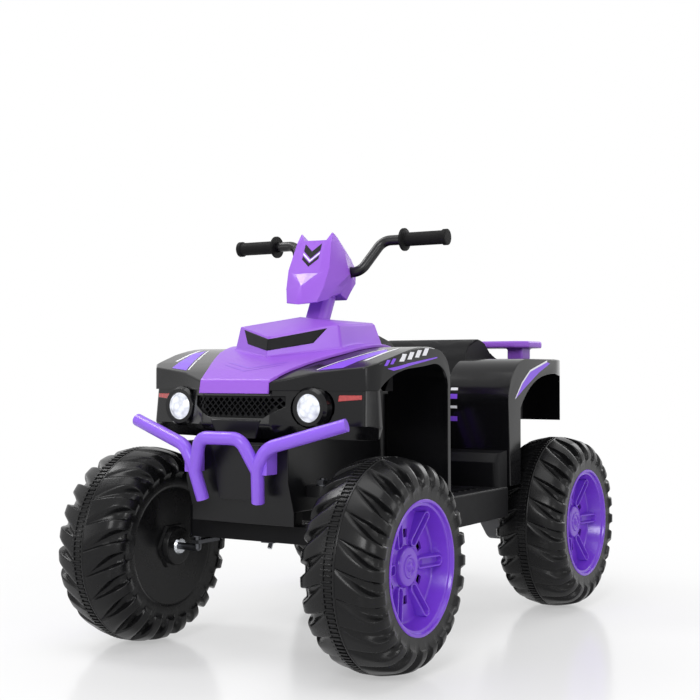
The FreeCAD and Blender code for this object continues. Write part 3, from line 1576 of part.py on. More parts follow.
# Seat and rear body

SEAT_END = 27


def seat_solid(inset):
    """Seat block: a low nose, a dip and a raised tail."""
    start = float(front(-S.hood_back) + S.cover_length + S.fit_gap * 2) + inset
    end = float(rear(SEAT_END)) - inset
    low = float(deck) - inset
    dip = S.deck_height + S.seat_height
    tail = S.rear_top + S.seat_tail
    line_points = [
        (start, over(dip + 3)),
        (rear(-S.rear_front + 18), over(dip - 5)),
        (rear(-S.rear_front + 58), over(dip + 3)),
        (rear(-S.rear_front + 93), over(tail - 20)),
        (rear(-S.rear_front + 118), over(tail)),
        (rear(-S.rear_front + 168), over(tail - 2)),
        (rear(7), over(S.rear_top + 8)),
        (end, over(S.rear_top + 2)),
    ]
    half = float(S.seat_half) - inset
    top = [vec(-half, y, float(z) - inset) for y, z in line_points]
    corners = [vec(-half, end, low), vec(-half, start, low)]
    edges = [curve(top), line(top[-1], corners[0]), line(corners[0], corners[1]), line(corners[1], top[0])]
    return Part.Face(Part.Wire(edges)).extrude(vec(half * 2, 0, 0))


def seat():
    """Hard hollow seat, open below."""
    feature("seat", seat_solid(0).cut(seat_solid(float(S.wall))))


def rear_side_face(inset):
    """Side view of a rear fender without its arch. With an inset it is the room inside."""
    ahead = -float(S.rear_front) + inset
    back = float(S.rear_back) - inset
    roll = float(S.rear_roll) - inset
    top = float(S.rear_top) - inset
    skirt = float(S.rear_top) - 126
    foot = float(board_high) - float(S.tyre_radius)
    strip = ahead + 56

    def spot(behind, height):
        return vec(0, rear(behind), over(height))

    turn = math.sqrt(0.5) * roll
    arc = Part.Arc(
        spot(ahead, top - roll),
        spot(ahead + roll - turn, top - roll + turn),
        spot(ahead + roll, top),
    ).toShape()
    if inset:
        loop = [spot(back, top), spot(back, foot - 5), spot(ahead + 8, foot - 5)]
    else:
        loop = [spot(back, top), spot(back, skirt), spot(strip, skirt), spot(strip, foot)]
        loop.append(spot(ahead + 8, foot))
    loop = [spot(ahead + roll, top), *loop, spot(ahead, top - roll)]
    edges = [arc, *[line(first, second) for first, second in zip(loop, loop[1:])]]
    return Part.Face(Part.Wire(edges))


def rear_arch_face():
    """Opening in the outer side over the rear wheel."""
    lip = [
        (-S.rear_front + 56, S.rear_top - 93),
        (-S.rear_front + 143, S.rear_top - 38),
        (S.rear_back - 105, S.rear_top - 29),
        (S.rear_back - 6, S.rear_top - 34),
    ]
    points = [vec(0, rear(behind), over(height)) for behind, height in lip]
    foot = float(board_high) - 20
    corners = [vec(0, points[-1].y, foot), vec(0, points[0].y, foot)]
    edges = [curve(points), line(points[-1], corners[0]), line(corners[0], corners[1])]
    edges.append(line(corners[1], points[0]))
    return Part.Face(Part.Wire(edges))


def rear_fenders():
    """Rolled front, flat top, inner and rear wall and an arched outer side in one shell."""
    wall = float(S.wall)
    reach = vec(float(S.side_half) + 20, 0, 0)

    def plan(inset):
        inner = float(S.tub_half) + inset
        outer = float(S.side_half) - inset
        ahead = rear(-S.rear_front - 10)
        back = rear(S.rear_back - inset)
        outline = [(inner, ahead), (outer, ahead), (outer, rear(22)), (outer - 40, back), (inner, back)]
        return slab("Z", outline, float(board_high) - 30, over(S.rear_top + 20))

    solid = rear_side_face(0).extrude(reach).common(plan(0))
    room = rear_side_face(wall).extrude(reach).common(plan(wall))
    arch = rear_arch_face().translated(vec(float(S.side_half) - 80, 0, 0)).extrude(vec(100, 0, 0))
    left = feature("rear_fender_left", solid.cut(room).cut(arch))
    mirrored("rear_fender_right", left)


def rear_panel():
    """Cap behind the seat with the closing panel below it."""
    wall = float(S.wall)
    half = float(S.tub_half)
    start = float(rear(SEAT_END)) + float(S.fit_gap)
    end = float(rear(S.rear_back))
    top = float(over(S.rear_top))
    outer = block((-half, start, deck), (half, end, top))
    back = block((-half, end - wall, over(S.rear_top - 190)), (half, end, top))
    room = block((-half + wall, start + wall, float(deck) - 1), (half - wall, end - wall, top - wall))
    feature("rear_panel", outer.cut(room).fuse(back))


def rear_rack():
    """Purple rack: a plate with a raised border on two posts."""
    half = float(S.rack_half)
    start = float(rear(S.rear_back - 2 - S.rack_length))
    end = start + float(S.rack_length)
    foot = float(over(S.rear_top))
    low = foot + float(S.rack_rise)
    high = low + float(S.rack_thickness)
    corner = 22
    outline = [
        (-half + corner, start), (half - corner, start), (half, start + corner), (half, end - corner),
        (half - corner, end), (-half + corner, end), (-half, end - corner), (-half, start + corner),
    ]
    plate = slab("Z", outline, low, high)
    border = slab("Z", outline, high, high + 4).cut(slab("Z", shrunk(outline, 12), high, high + 4))
    posts = []
    for side in (1, -1):
        low_x, high_x = sorted((side * 106, side * 140))
        posts.append(block((low_x, start + 32, foot), (high_x, start + 76, low)))
    feature("rear_rack", plate.multiFuse([border, *posts]))


# Drive

def rear_axle():
    """Straight axle with a nut at each end."""
    reach = S.track / 2 + hub_end + WASHER + NUT_HEIGHT + 3
    keep("rear_axle", rod("rear_axle", X_AXIS, (-reach, rear(0), over(0)), reach * 2, S.axle_radius))
    face = S.track / 2 + hub_end + WASHER
    hole = S.axle_radius + S.bearing_gap
    both("rear_axle_nuts", hex_nut("rear_nut", X_AXIS, (face, rear(0), over(0)), NUT_HEIGHT, hole))


def gearboxes():
    """Sealed housing each side: a large round end on the axle and a small one at the motor."""
    motor_y = rear(-S.motor_ahead)
    motor_z = over(S.motor_up)
    small = float(S.gearbox_radius) * 0.72
    large = float(S.gearbox_radius)
    start = float(S.tub_half)
    axle = vec(start, rear(0), over(0))
    motor = vec(start, motor_y, motor_z)
    way = (motor - axle).normalize()
    across = X_AXIS.cross(way)
    lean = math.acos((large - small) / motor.distanceToPoint(axle))
    sides = [way * math.cos(lean) + across * math.sin(lean) * sign for sign in (1, -1)]
    corners = [axle + sides[0] * large, motor + sides[0] * small]
    corners += [motor + sides[1] * small, axle + sides[1] * large]
    thickness = float(S.gearbox_thickness)
    web = Part.Face(Part.makePolygon([*corners, corners[0]])).extrude(X_AXIS * thickness)
    rounds = ((large, axle), (small, motor))
    ends = [Part.makeCylinder(radius, thickness, middle, X_AXIS) for radius, middle in rounds]
    bore = Part.makeCylinder(float(S.axle_radius + S.bearing_gap), thickness, axle, X_AXIS)
    feature("gearboxes", pair_of(web.multiFuse(ends).cut(bore).removeSplitter()))


def motors():
    start = (S.tub_half - S.motor_length, rear(-S.motor_ahead), over(S.motor_up))
    both("motors", rod("motor_can", X_AXIS, start, S.motor_length, S.motor_radius))


def battery():
    half = S.battery_width / 2
    low = over(S.mid_floor + S.wall)
    back = rear(-S.rear_front - 22)
    corner = (-half, back - S.battery_length, low)
    keep("battery", box("battery", corner, (half, back, low + S.battery_height)))


def screw_head(name, direction, start):
    item = doc.addObject("Part::Cone", name)
    item.Placement.Rotation = FreeCAD.Rotation(Z_AXIS, direction)
    item.Radius1 = 5
    item.Radius2 = 3.5
    item.Height = 2
    return bind(item, **at(*start))


def body_screws():
    """Heads at the corners of the side panels."""
    face = S.tub_half + S.side_panel_depth
    heads = []
    for side in (1, -1):
        for y in (front(-S.fender_back - 12), rear(-S.rear_front - S.heel_depth - 13)):
            for z in (board_high + 14, deck - 16):
                number = len(heads) + 1
                heads.append(screw_head(f"screw_head_{number}", X_AXIS * side, (face * side, y, z)))
    group("body_screws", *heads)


make_wheels()
front_beam()
kingpin_bracket()
knuckle()
kingpin_hardware()
tie_rod()
steering_column()
steering_bush()
steering_neck()
head_front()
head_back()
round_button("power_button", -BUTTON_ACROSS)
round_button("horn_button", BUTTON_ACROSS)
rocker_switch()
handlebar()
grip_body("grip_left", 1)
grip_body("grip_right", -1)
chassis_tub()
side_panel()
footboards()
accelerator_pedal()
front_fenders()
front_fascia()
grille()
lamp_bodies()
side_reflectors()
hood()
scoop_insert()
bull_bar()
centre_cover()
seat()
rear_fenders()
rear_panel()
rear_rack()
rear_axle()
gearboxes()
motors()
battery()
body_screws()

doc.recompute()
for item in doc.Objects:
    if "Invalid" in item.State or "Error" in item.State:
        raise RuntimeError(f"{item.Label} did not build: {item.State}")
for name, item in parts.items():
    if item.Shape.isNull() or not item.Shape.isValid():
        raise RuntimeError(f"{name} has no valid shape")
os.makedirs("parts", exist_ok=True)
for name, item in parts.items():
    item.Shape.exportStep(f"parts/{name}.step")
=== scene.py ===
"""Looks for a kids ride-on quad bike: moulded panels, tread, lamps, stripes and a plain studio."""

import json
import math

import bmesh
import bpy
from bpy.props import FloatProperty, FloatVectorProperty, IntProperty, PointerProperty
from mathutils import Matrix, Vector
from mathutils.bvhtree import BVHTree


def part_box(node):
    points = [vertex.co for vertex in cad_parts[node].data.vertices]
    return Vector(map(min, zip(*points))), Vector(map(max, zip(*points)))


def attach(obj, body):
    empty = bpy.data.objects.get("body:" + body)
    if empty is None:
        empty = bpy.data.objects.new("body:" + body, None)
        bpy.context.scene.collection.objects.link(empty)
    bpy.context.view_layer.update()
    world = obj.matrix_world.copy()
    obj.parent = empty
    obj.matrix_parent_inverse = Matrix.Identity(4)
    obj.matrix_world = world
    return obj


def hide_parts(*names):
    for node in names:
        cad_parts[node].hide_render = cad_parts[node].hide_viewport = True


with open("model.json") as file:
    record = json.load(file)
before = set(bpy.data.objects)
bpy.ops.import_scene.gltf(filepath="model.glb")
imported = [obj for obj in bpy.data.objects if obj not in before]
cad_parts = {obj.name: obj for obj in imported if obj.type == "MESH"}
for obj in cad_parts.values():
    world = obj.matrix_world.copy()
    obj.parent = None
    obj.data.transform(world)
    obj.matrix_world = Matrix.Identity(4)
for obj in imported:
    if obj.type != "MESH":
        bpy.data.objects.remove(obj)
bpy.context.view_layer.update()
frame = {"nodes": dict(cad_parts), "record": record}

bl_info = {
    "name": "Kids Quad Bike",
    "version": (1, 0, 0),
    "blender": (4, 5, 0),
    "location": "View3D > Sidebar > Quad Bike",
    "description": "Builds the visible pieces of a ride-on quad bike round its packed frame",
    "category": "Object",
}

MM = 0.001
CHASSIS = "chassis"
WHEELS = ("front_left", "front_right", "rear_left", "rear_right")


def linear(hex_colour):
    """Linear RGBA from an sRGB hex value."""
    channels = []
    for start in (1, 3, 5):
        value = int(hex_colour[start:start + 2], 16) / 255
        channels.append(value / 12.92 if value <= 0.04045 else ((value + 0.055) / 1.055) ** 2.4)
    return (*channels, 1.0)


def colour_property(name, description, hex_colour):
    return FloatVectorProperty(
        name=name, description=description, subtype="COLOR", size=4, min=0, max=1, default=linear(hex_colour)
    )


def length_property(name, description, millimetres):
    return FloatProperty(
        name=name, description=description, subtype="DISTANCE", unit="LENGTH", default=millimetres * MM
    )


class QuadColours(bpy.types.PropertyGroup):
    """Colours of the mouldings and stripes."""

    purple: colour_property("Purple", "Hood, steering head and rack", "#9459D2")
    rim: colour_property("Rim purple", "Rim covers", "#733BC8")
    black: colour_property("Gloss black", "Fenders, fascia and panels", "#0D0D0F")
    grain: colour_property("Grained black", "Footboards, covers and seat", "#0E0E10")
    wheel: colour_property("Wheel black", "Blow-moulded wheels", "#111112")
    stripe: colour_property("Stripe", "Light stripes and bars", "#E9E9EE")
    reflector: colour_property("Reflector", "Side reflectors and power button", "#B03A3A")
    floor: colour_property("Floor", "Studio floor", "#F4F4F5")


class QuadSizes(bpy.types.PropertyGroup):
    """Sizes of the moulded detail."""

    soft_edge: length_property("Soft edge", "Rounding along the hood, steering head, rack and seat", 4)
    panel_edge: length_property("Panel edge", "Rounding along the panels' edges", 3)
    small_edge: length_property("Small edge", "Rounding along small pieces' edges", 1.2)
    lug_count: IntProperty(
        name="Tread bars", description="Tread bars on one side of a wheel", default=24, min=8
    )
    groove_depth: length_property("Groove depth", "Grooves between the tread bars", 10)
    groove_sweep: FloatProperty(
        name="Groove sweep", description="Slant of a groove from band to shoulder", subtype="ANGLE",
        default=math.radians(12),
    )
    band_ribs: IntProperty(
        name="Band ribs", description="Fine ribs round the centre band", default=126, min=20
    )
    stripe_lift: length_property("Stripe lift", "Stripes above the panel below", 0.25)


def sizes():
    return bpy.context.scene.quad_sizes


def colours():
    return bpy.context.scene.quad_colours


# Materials

PLASTIC_IOR = 1.49
LENS_IOR = 1.58
PATCH_DETAIL = 3.0
SKIN_DETAIL = 2.0
SKIN_STRENGTH = 0.6
# kinds of surface: patches of tone and of gloss in millimetres, how far the roughness swings down and up
MOULDED = ((60, 25), (0.04, 0.05))
GRAINED = ((80, 18), (0.05, 0.06))
PLATED = ((12, 6), (0.06, 0.08))
TONE_SPREAD = 0.08
GRAIN_STRENGTH = 0.5
GRAIN_SHINE = 0.11
# cells moulded in lens and reflector: size and depth in millimetres and strength, then the range over a
# cell, of the lens's glow and of the reflector's painted sparkle
LENS_PEBBLES = (9, 0.8, 0.5)
LENS_GLOW = (1.0, 0.3)
CUBE_CORNERS = (3, 0.3, 0.4)
# painted sparkle: how much darker and lighter the reflector's colour is painted over each cube corner
CORNER_SPARKLE = (0.75, 1.25)


def add_node(tree, kind, links=(), **settings):
    """Adds a node. A setting named after an input sets that input.

    Links are pairs of a socket to come from and the input's name or number."""
    node = tree.nodes.new(kind)
    for name, value in settings.items():
        if hasattr(node, name):
            setattr(node, name, value)
        else:
            node.inputs[name.replace("_", " ")].default_value = value
    for source, target in links:
        tree.links.new(source, node.inputs[target])
    return node


def new_material(name):
    material = bpy.data.materials.new(name)
    material.use_nodes = True
    tree = material.node_tree
    shader = tree.nodes["Principled BSDF"]
    place = add_node(tree, "ShaderNodeTexCoord").outputs["Object"]
    return material, tree, shader, place


def set_shader(shader, **values):
    for name, value in values.items():
        shader.inputs[name.replace("_", " ")].default_value = value


def patches(tree, place, size_mm, low, high):
    """A value that varies between two others over patches of a real size in millimetres."""
    noise = add_node(
        tree, "ShaderNodeTexNoise", [(place, "Vector")], Scale=1 / (size_mm * MM), Detail=PATCH_DETAIL
    )
    spread = add_node(tree, "ShaderNodeMapRange", [(noise.outputs["Fac"], "Value")], To_Min=low, To_Max=high)
    return spread.outputs["Result"]


def patchy_colour(tree, place, size_mm, colour, spread):
    """A colour that varies a little in brightness over patches of a real size."""
    change = patches(tree, place, size_mm, 1 - spread, 1 + spread)
    tone = add_node(tree, "ShaderNodeHueSaturation", [(change, "Value")], Color=colour)
    return tone.outputs["Color"]


def uneven(tree, shader, place, colour, spread, rough, kind):
    """Colour and gloss that vary a little over patches of real sizes, as on one kind of surface."""
    (tone_patch, gloss_patch), (down, up) = kind
    tone = patchy_colour(tree, place, tone_patch, colour, spread)
    tree.links.new(tone, shader.inputs["Base Color"])
    gloss = patches(tree, place, gloss_patch, rough - down, rough + up)
    tree.links.new(gloss, shader.inputs["Roughness"])


def pebbled(tree, shader, place, cell_mm, depth_mm, strength):
    """A relief of cells of a real size in millimetres. Returns the distance from their middles."""
    cells = add_node(tree, "ShaderNodeTexVoronoi", [(place, "Vector")], Scale=1 / (cell_mm * MM))
    distance = cells.outputs["Distance"]
    bump = add_node(
        tree, "ShaderNodeBump", [(distance, "Height")], Strength=strength, Distance=depth_mm * MM
    )
    tree.links.new(bump.outputs["Normal"], shader.inputs["Normal"])
    return distance


def moulded(name, colour, rough, spread, grain_mm, grain_depth_mm, shine):
    """Injection-moulded plastic: even colour, slightly uneven gloss and a fine skin texture."""
    material, tree, shader, place = new_material(name)
    uneven(tree, shader, place, colour, spread, rough, MOULDED)
    skin = add_node(
        tree, "ShaderNodeTexNoise", [(place, "Vector")], Scale=1 / (grain_mm * MM), Detail=SKIN_DETAIL
    )
    bump = add_node(
        tree, "ShaderNodeBump", [(skin.outputs["Fac"], "Height")], Strength=SKIN_STRENGTH,
        Distance=grain_depth_mm * MM,
    )
    tree.links.new(bump.outputs["Normal"], shader.inputs["Normal"])
    set_shader(shader, IOR=PLASTIC_IOR, Specular_IOR_Level=shine)
    return material


def grained(name, colour, rough, cell_mm, depth_mm):
    """Moulded plastic with a pebbled grain cut into the tool, which scatters the highlight."""
    material, tree, shader, place = new_material(name)
    uneven(tree, shader, place, colour, TONE_SPREAD, rough, GRAINED)
    pebbled(tree, shader, place, cell_mm, depth_mm, GRAIN_STRENGTH)
    set_shader(shader, IOR=PLASTIC_IOR, Specular_IOR_Level=GRAIN_SHINE)
    return material


def plated(name, hex_colour, rough):
    """Plated or metallised surface, with a soft uneven gloss from the bath."""
    material, tree, shader, place = new_material(name)
    uneven(tree, shader, place, linear(hex_colour), TONE_SPREAD, rough, PLATED)
    set_shader(shader, Metallic=1.0)
    return material


def lit_lens(name):
    """Pebbled lens of a lamp that is switched on, brightest in the middle of each cell."""
    material, tree, shader, place = new_material(name)
    distance = pebbled(tree, shader, place, *LENS_PEBBLES)
    middle, rim = LENS_GLOW
    glow = add_node(tree, "ShaderNodeMapRange", [(distance, "Value")], To_Min=middle, To_Max=rim)
    tree.links.new(glow.outputs["Result"], shader.inputs["Emission Strength"])
    set_shader(
        shader, Base_Color=linear("#8E949F"), Emission_Color=linear("#F6F8FF"), Roughness=0.15, IOR=LENS_IOR
    )
    return material


def ribbed_reflector(name, colour):
    """Red acrylic with small cube corners moulded in its back, and a painted sparkle of their facets in its
    colour.
    """
    material, tree, shader, place = new_material(name)
    distance = pebbled(tree, shader, place, *CUBE_CORNERS)
    middle, rim = CORNER_SPARKLE
    # painted sparkle: each cube corner is painted darker in its middle and lighter towards its rim
    tone = add_node(tree, "ShaderNodeMapRange", [(distance, "Value")], To_Min=middle, To_Max=rim)
    shade = add_node(tree, "ShaderNodeHueSaturation", [(tone.outputs["Result"], "Value")], Color=colour)
    tree.links.new(shade.outputs["Color"], shader.inputs["Base Color"])
    set_shader(shader, Roughness=0.12, IOR=PLASTIC_IOR, Coat_Weight=0.6)
    return material


# moulded: colour, roughness, spread of tone, skin grain and its depth in millimetres, specular level
# grained: colour, roughness, pebbles and their depth in millimetres; plated: colour, roughness
MAKERS = {
    # glossy ABS panels: deep black with a slightly wavy highlight
    "abs_gloss_black": lambda name: moulded(name, colours().black, 0.16, 0.06, 9, 0.04, 0.3),
    # satin polypropylene: saturated purple, soft highlight
    "pp_satin_purple": lambda name: moulded(name, colours().purple, 0.36, 0.025, 2.5, 0.03, 0.35),
    # smooth polypropylene bull bar: bluer than the hood, even highlight along the tube
    "pp_bar_purple": lambda name: moulded(name, linear("#8A5CE0"), 0.3, 0.025, 8, 0.01, 0.45),
    # glossy ABS rim covers: deeper purple, sharper highlight
    "abs_rim_purple": lambda name: moulded(name, colours().rim, 0.2, 0.03, 5, 0.03, 0.5),
    # grained polypropylene covers, footboards and seat: dull black, scattered highlight
    "pp_grain_black": lambda name: grained(name, colours().grain, 0.46, 1.8, 0.12),
    # satin polypropylene tub: smoother than the seat, broad soft highlight
    "pp_satin_black": lambda name: moulded(name, linear("#0F0F11"), 0.3, 0.08, 3, 0.03, 0.28),
    # blow-moulded polyethylene wheels: waxy black, faint flow waves
    "hdpe_wheel_black": lambda name: moulded(name, colours().wheel, 0.26, 0.1, 5, 0.08, 0.22),
    # soft grip rubber: matt, a little greyer than the plastics
    "grip_rubber": lambda name: grained(name, linear("#151515"), 0.6, 1.2, 0.1),
    # powder-coated steel: black with fine orange peel, drawn coarser than real so that it shows
    "powder_coat_black": lambda name: moulded(name, linear("#0E0E10"), 0.3, 0.05, 1.5, 0.06, 0.4),
    # zinc-plated steel of bushes, axle, pins and screws: bright silver
    "zinc_plated_steel": lambda name: plated(name, "#C4C7CC", 0.26),
    # black-oxide steel of the steering linkage: dark, with a dull sheen
    "black_oxide_steel": lambda name: plated(name, "#55565A", 0.36),
    # metallised lamp bowls: nearly a mirror
    "metallised_bowl": lambda name: plated(name, "#E6E8EC", 0.1),
    # lit polycarbonate lenses: white, with a pebbled glow
    "lamp_lens_lit": lit_lens,
    # red acrylic: glassy, with a faint painted sparkle of facets in its colour
    "acrylic_red": lambda name: ribbed_reflector(name, colours().reflector),
    # glass-filled nylon housings: plain dull grey
    "housing_grey": lambda name: grained(name, linear("#3A3A3C"), 0.5, 1.6, 0.08),
    # printed vinyl, smooth thin film: nearly white stripes
    "vinyl_light": lambda name: moulded(name, colours().stripe, 0.3, 0.03, 6, 0.01, 0.3),
    # printed vinyl: blue-purple stripes on black
    "vinyl_purple": lambda name: moulded(name, linear("#8350E0"), 0.3, 0.04, 6, 0.01, 0.3),
    # printed vinyl: a shade darker than the hood, hardly seen
    "vinyl_tone": lambda name: moulded(name, linear("#8E57D6"), 0.3, 0.03, 6, 0.01, 0.3),
    # painted highlight: a pale purple film, glossier than the head below, where light falls on a facet of
    # the steering head
    "pale_painted_highlight": lambda name: moulded(name, linear("#AB84E8"), 0.25, 0.03, 6, 0.01, 0.4),
    # printed vinyl: black chevrons
    "vinyl_black": lambda name: moulded(name, linear("#111114"), 0.3, 0.05, 6, 0.01, 0.25),
}


def material(name):
    return bpy.data.materials.get(name) or MAKERS[name](name)


# Mesh helpers

# vertices this close are one: in a copy of a CAD node and in a mesh made here
CAD_WELD = 0.05 * MM
WELD = 0.01 * MM
FLAT = math.radians(2)
STRAIGHT_ON = math.radians(150)
# share of the rounding and least angle in degrees, for wide creases and for thin rims
ROUNDS = ((1, 20), (0.3, 48))
ROUND_SEGMENTS = 3
# least angle in degrees at which shading breaks
PANEL_SHARP = 32
TREAD_SHARP = 62
BAND_SHARP = 40
RIM_SHARP = 38
FILM_SHARP = 60


def finish_piece(name, bm, finish, body, sharp_degrees=PANEL_SHARP):
    """Turns a bmesh into a shaded object that rides on a body."""
    for face in bm.faces:
        face.smooth = True
    limit = math.radians(sharp_degrees)
    for edge in bm.edges:
        edge.smooth = len(edge.link_faces) == 2 and edge.calc_face_angle() < limit
    mesh = bpy.data.meshes.new(name)
    bm.to_mesh(mesh)
    bm.free()
    piece = bpy.data.objects.new(name, mesh)
    bpy.context.scene.collection.objects.link(piece)
    piece.data.materials.append(material(finish))
    normals = piece.modifiers.new("even_normals", "WEIGHTED_NORMAL")
    normals.keep_sharp = True
    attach(piece, body)
    return piece


def everything(bm):
    return [*bm.verts, *bm.edges, *bm.faces]


def join(whole, part):
    """Moves one bmesh into another."""
    mesh = bpy.data.meshes.new("joined")
    part.to_mesh(mesh)
    part.free()
    whole.from_mesh(mesh)
    bpy.data.meshes.remove(mesh)


def node_mesh(node):
    """A merged copy of a CAD node, with its flat regions as single faces."""
    bm = bmesh.new()
    bm.from_mesh(frame["nodes"][node].data)
    bmesh.ops.remove_doubles(bm, verts=bm.verts, dist=CAD_WELD)
    bmesh.ops.dissolve_limit(bm, angle_limit=FLAT, verts=bm.verts, edges=bm.edges)
    return bm


def bevel(bm, edges, width, segments):
    """Rounds edges. A clamp would follow the edge with the least room, so there is none."""
    bmesh.ops.bevel(
        bm, geom=edges, offset=width, offset_type="OFFSET", segments=segments, profile=0.5, affect="EDGES",
        clamp_overlap=False, material=-1,
    )


def has_room(edge, width):
    """True if the faces beside an edge are wide enough, along it and at its ends, to take a bevel."""
    if min(2 * face.calc_area() / face.calc_perimeter() for face in edge.link_faces) < 2 * width:
        return False
    for vert in edge.verts:
        along = edge.other_vert(vert).co - vert.co
        for other in vert.link_edges:
            if other is edge or not set(other.link_faces) & set(edge.link_faces):
                continue
            away = other.other_vert(vert).co - vert.co
            turn = along.angle(away, 0)
            if turn < STRAIGHT_ON and away.length * math.sin(turn) < 2 * width:
                return False
    return True


def round_edges(bm, width):
    """Rounds the creases that leave room for it, then the rims that leave less."""
    for share, degrees in ROUNDS:
        limit = math.radians(degrees)
        sharp = [edge for edge in bm.edges if len(edge.link_faces) == 2 and edge.calc_face_angle() > limit]
        bevel(bm, [edge for edge in sharp if has_room(edge, width * share)], width * share, ROUND_SEGMENTS)


def body_of(node):
    """The body that carries a CAD node."""
    groups = frame["record"]["behaviour"]["bodies"]
    return next(body for body, members in groups.items() if node in members)


def dress(node, finish, width):
    """A rounded, smooth copy of a CAD node in place of it."""
    bm = node_mesh(node)
    if width:
        round_edges(bm, width)
    piece = finish_piece(node + "_dressed", bm, finish, body_of(node))
    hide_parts(node)


def coat(node, finish):
    """A better material on a CAD node that stays."""
    slots = frame["nodes"][node].data.materials
    slots.clear()
    slots.append(material(finish))


# Wheels, in millimetres: across is towards the outside, from the middle of the tread

WHEEL_ACROSS = 239
# skin of the wheel moulding, (across, radius): inner disc, then band edge to rim, then dish
INNER_DISC = ((-75, 6.05), (-75, 29), (-73.6, 31.6), (-63, 33), (-61, 35), (-61, 60), (-61, 97), (-62, 101))
SHOULDER = (
    (9.8, 165), (17, 164), (24.5, 162.5), (31, 161.2), (37, 159.7), (43, 158), (49, 155.8),
    (53.5, 153), (57.5, 149.6), (60.8, 146), (63.4, 142.6), (65.3, 139.4), (66.7, 136.6),
    (67.6, 134), (68.3, 131.6), (69, 127.5), (68.8, 124.5), (67.4, 122), (65.2, 120),
    (64.4, 114), (63.6, 103.2),
)
DISH = ((60, 102.5), (20, 97.4), (20, 60), (20, 6.05))
# along a groove, by share of the shoulder's points: depth share, half width and length of its gentle flank
GROOVE = (
    (0, 0.16, 1.6, 9), (0.1, 0.5, 4, 11), (0.3, 1, 8, 8), (0.45, 1.1, 9.4, 4), (0.55, 1, 9.4, 2.4),
    (0.65, 0.7, 8.8, 2), (0.75, 0.5, 8, 2), (0.8, 0.46, 7.6, 2), (0.85, 0.3, 7, 2), (0.9, 0.08, 6, 2),
    (0.95, 0, 5, 2), (1, 0, 5, 2),
)
# across a groove: shares of its half width and gentle flank, millimetres to add, and share of its depth
GROOVE_PROFILE = (
    (-1, -1, 0, 0), (-1, -0.6, 0, 0.12), (-1, -0.25, 0, 0.45), (-0.75, 0, 0, 0.88), (-0.4, 0, 0, 1),
    (0.25, 0, 0, 1), (1, 0, -2.4, 0.97), (1, 0, -1.1, 0.6), (1, 0, -0.2, 0.16), (1, 0, 0.7, 0.03),
    (1, 0, 2, 0),
)
# centre band: its ground, a rib (across, along, tall) with its rounding, and the bead beside the ribs
BAND_RADIUS = 163
BAND_HALF = 9.2
RIB_SIZE = (18, 3.6, 4)
RIB_ROUND = 0.8
RIB_ACROSS = 5.8
RIB_SINK = 0.1
BEAD_RADIUS = 3
BEAD_ACROSS = 7
BEAD_SINK = 0.9
BEAD_SIDES = 16
BEAD_STEPS = 160
# flange round the boss on the inner disc
FLANGE_SIDES = 6
FLANGE_RADII = (39, 41)
FLANGE_THICK = 5.6
FLANGE_ACROSS = -63.2
# rim cover, (across, radius): cap, hub, floor, wall and lip, then back along the hidden side
RIM_TURNING = (
    (45, 0), (44.7, 3), (43.4, 6), (40.8, 8), (40.5, 12), (42.2, 13.4), (42.6, 15), (42.2, 17),
    (40.6, 18.2), (40.4, 26), (39.9, 28.4), (38.6, 30), (34, 31.4), (32.4, 32.4), (32, 34), (32, 44),
    (32, 57), (32, 83), (32.6, 85.6), (34.4, 87.2), (57.6, 92.4), (59, 93.4), (59.4, 95), (59.6, 96.6),
    (61, 97.4), (63.4, 97.8), (64.6, 98.6), (65, 100), (64.8, 101.6), (64, 102.8), (62.6, 103.2),
    (56, 101), (28, 91), (28, 57), (28, 44), (28, 37), (30, 34), (35.4, 29), (36, 26), (36, 0),
)
RIM_STEPS = 96
SPOKES = 6
VENT_RADII = (44, 57)
VENT_HALF = math.radians(8)
# spoke: half width, straight length, sides of its outline, wall round its slot, the slot's draft and depth
SPOKE_HALF = 8.8
SPOKE_LENGTH = 41
SPOKE_SIDES = 28
SLOT_WALL = 2.7
SLOT_DRAFT = 1.2
SLOT_DEPTH = 9
# slope towards the wall, (across, radius) of the inner end, level and spread of the foot, rounded creases
SPOKE_RISE = 0.23
SPOKE_START = (38, 42)
SPOKE_FOOT = 30
FOOT_SPREAD = 1.3
SPOKE_ROUND = 0.8
SPOKE_CREASE = math.radians(50)
SPIN = {"cent": (0, 0, 0), "axis": (1, 0, 0), "dvec": (0, 0, 0)}


def groove_at(share):
    """Depth share, half width and gentle flank of a groove at a share of the shoulder."""
    for first, second in zip(GROOVE, GROOVE[1:]):
        if share <= second[0]:
            local = (share - first[0]) / (second[0] - first[0])
            return [a + (b - a) * local for a, b in zip(first[1:], second[1:])]
    return GROOVE[-1][1:]


def groove_columns(half, flank, pitch):
    """Places along the tread over one pitch, with the share of the groove's depth at each.

    The flank before the groove is gentle, the one after it steep."""
    bar = pitch / 2
    groove = [(half * wide + flank * long + more, fall) for wide, long, more, fall in GROOVE_PROFILE]
    before = (groove[0][0] - bar) / 2
    after = (groove[-1][0] + bar) / 2
    return [(-bar, 0), (before, 0), *groove, (after, 0)]


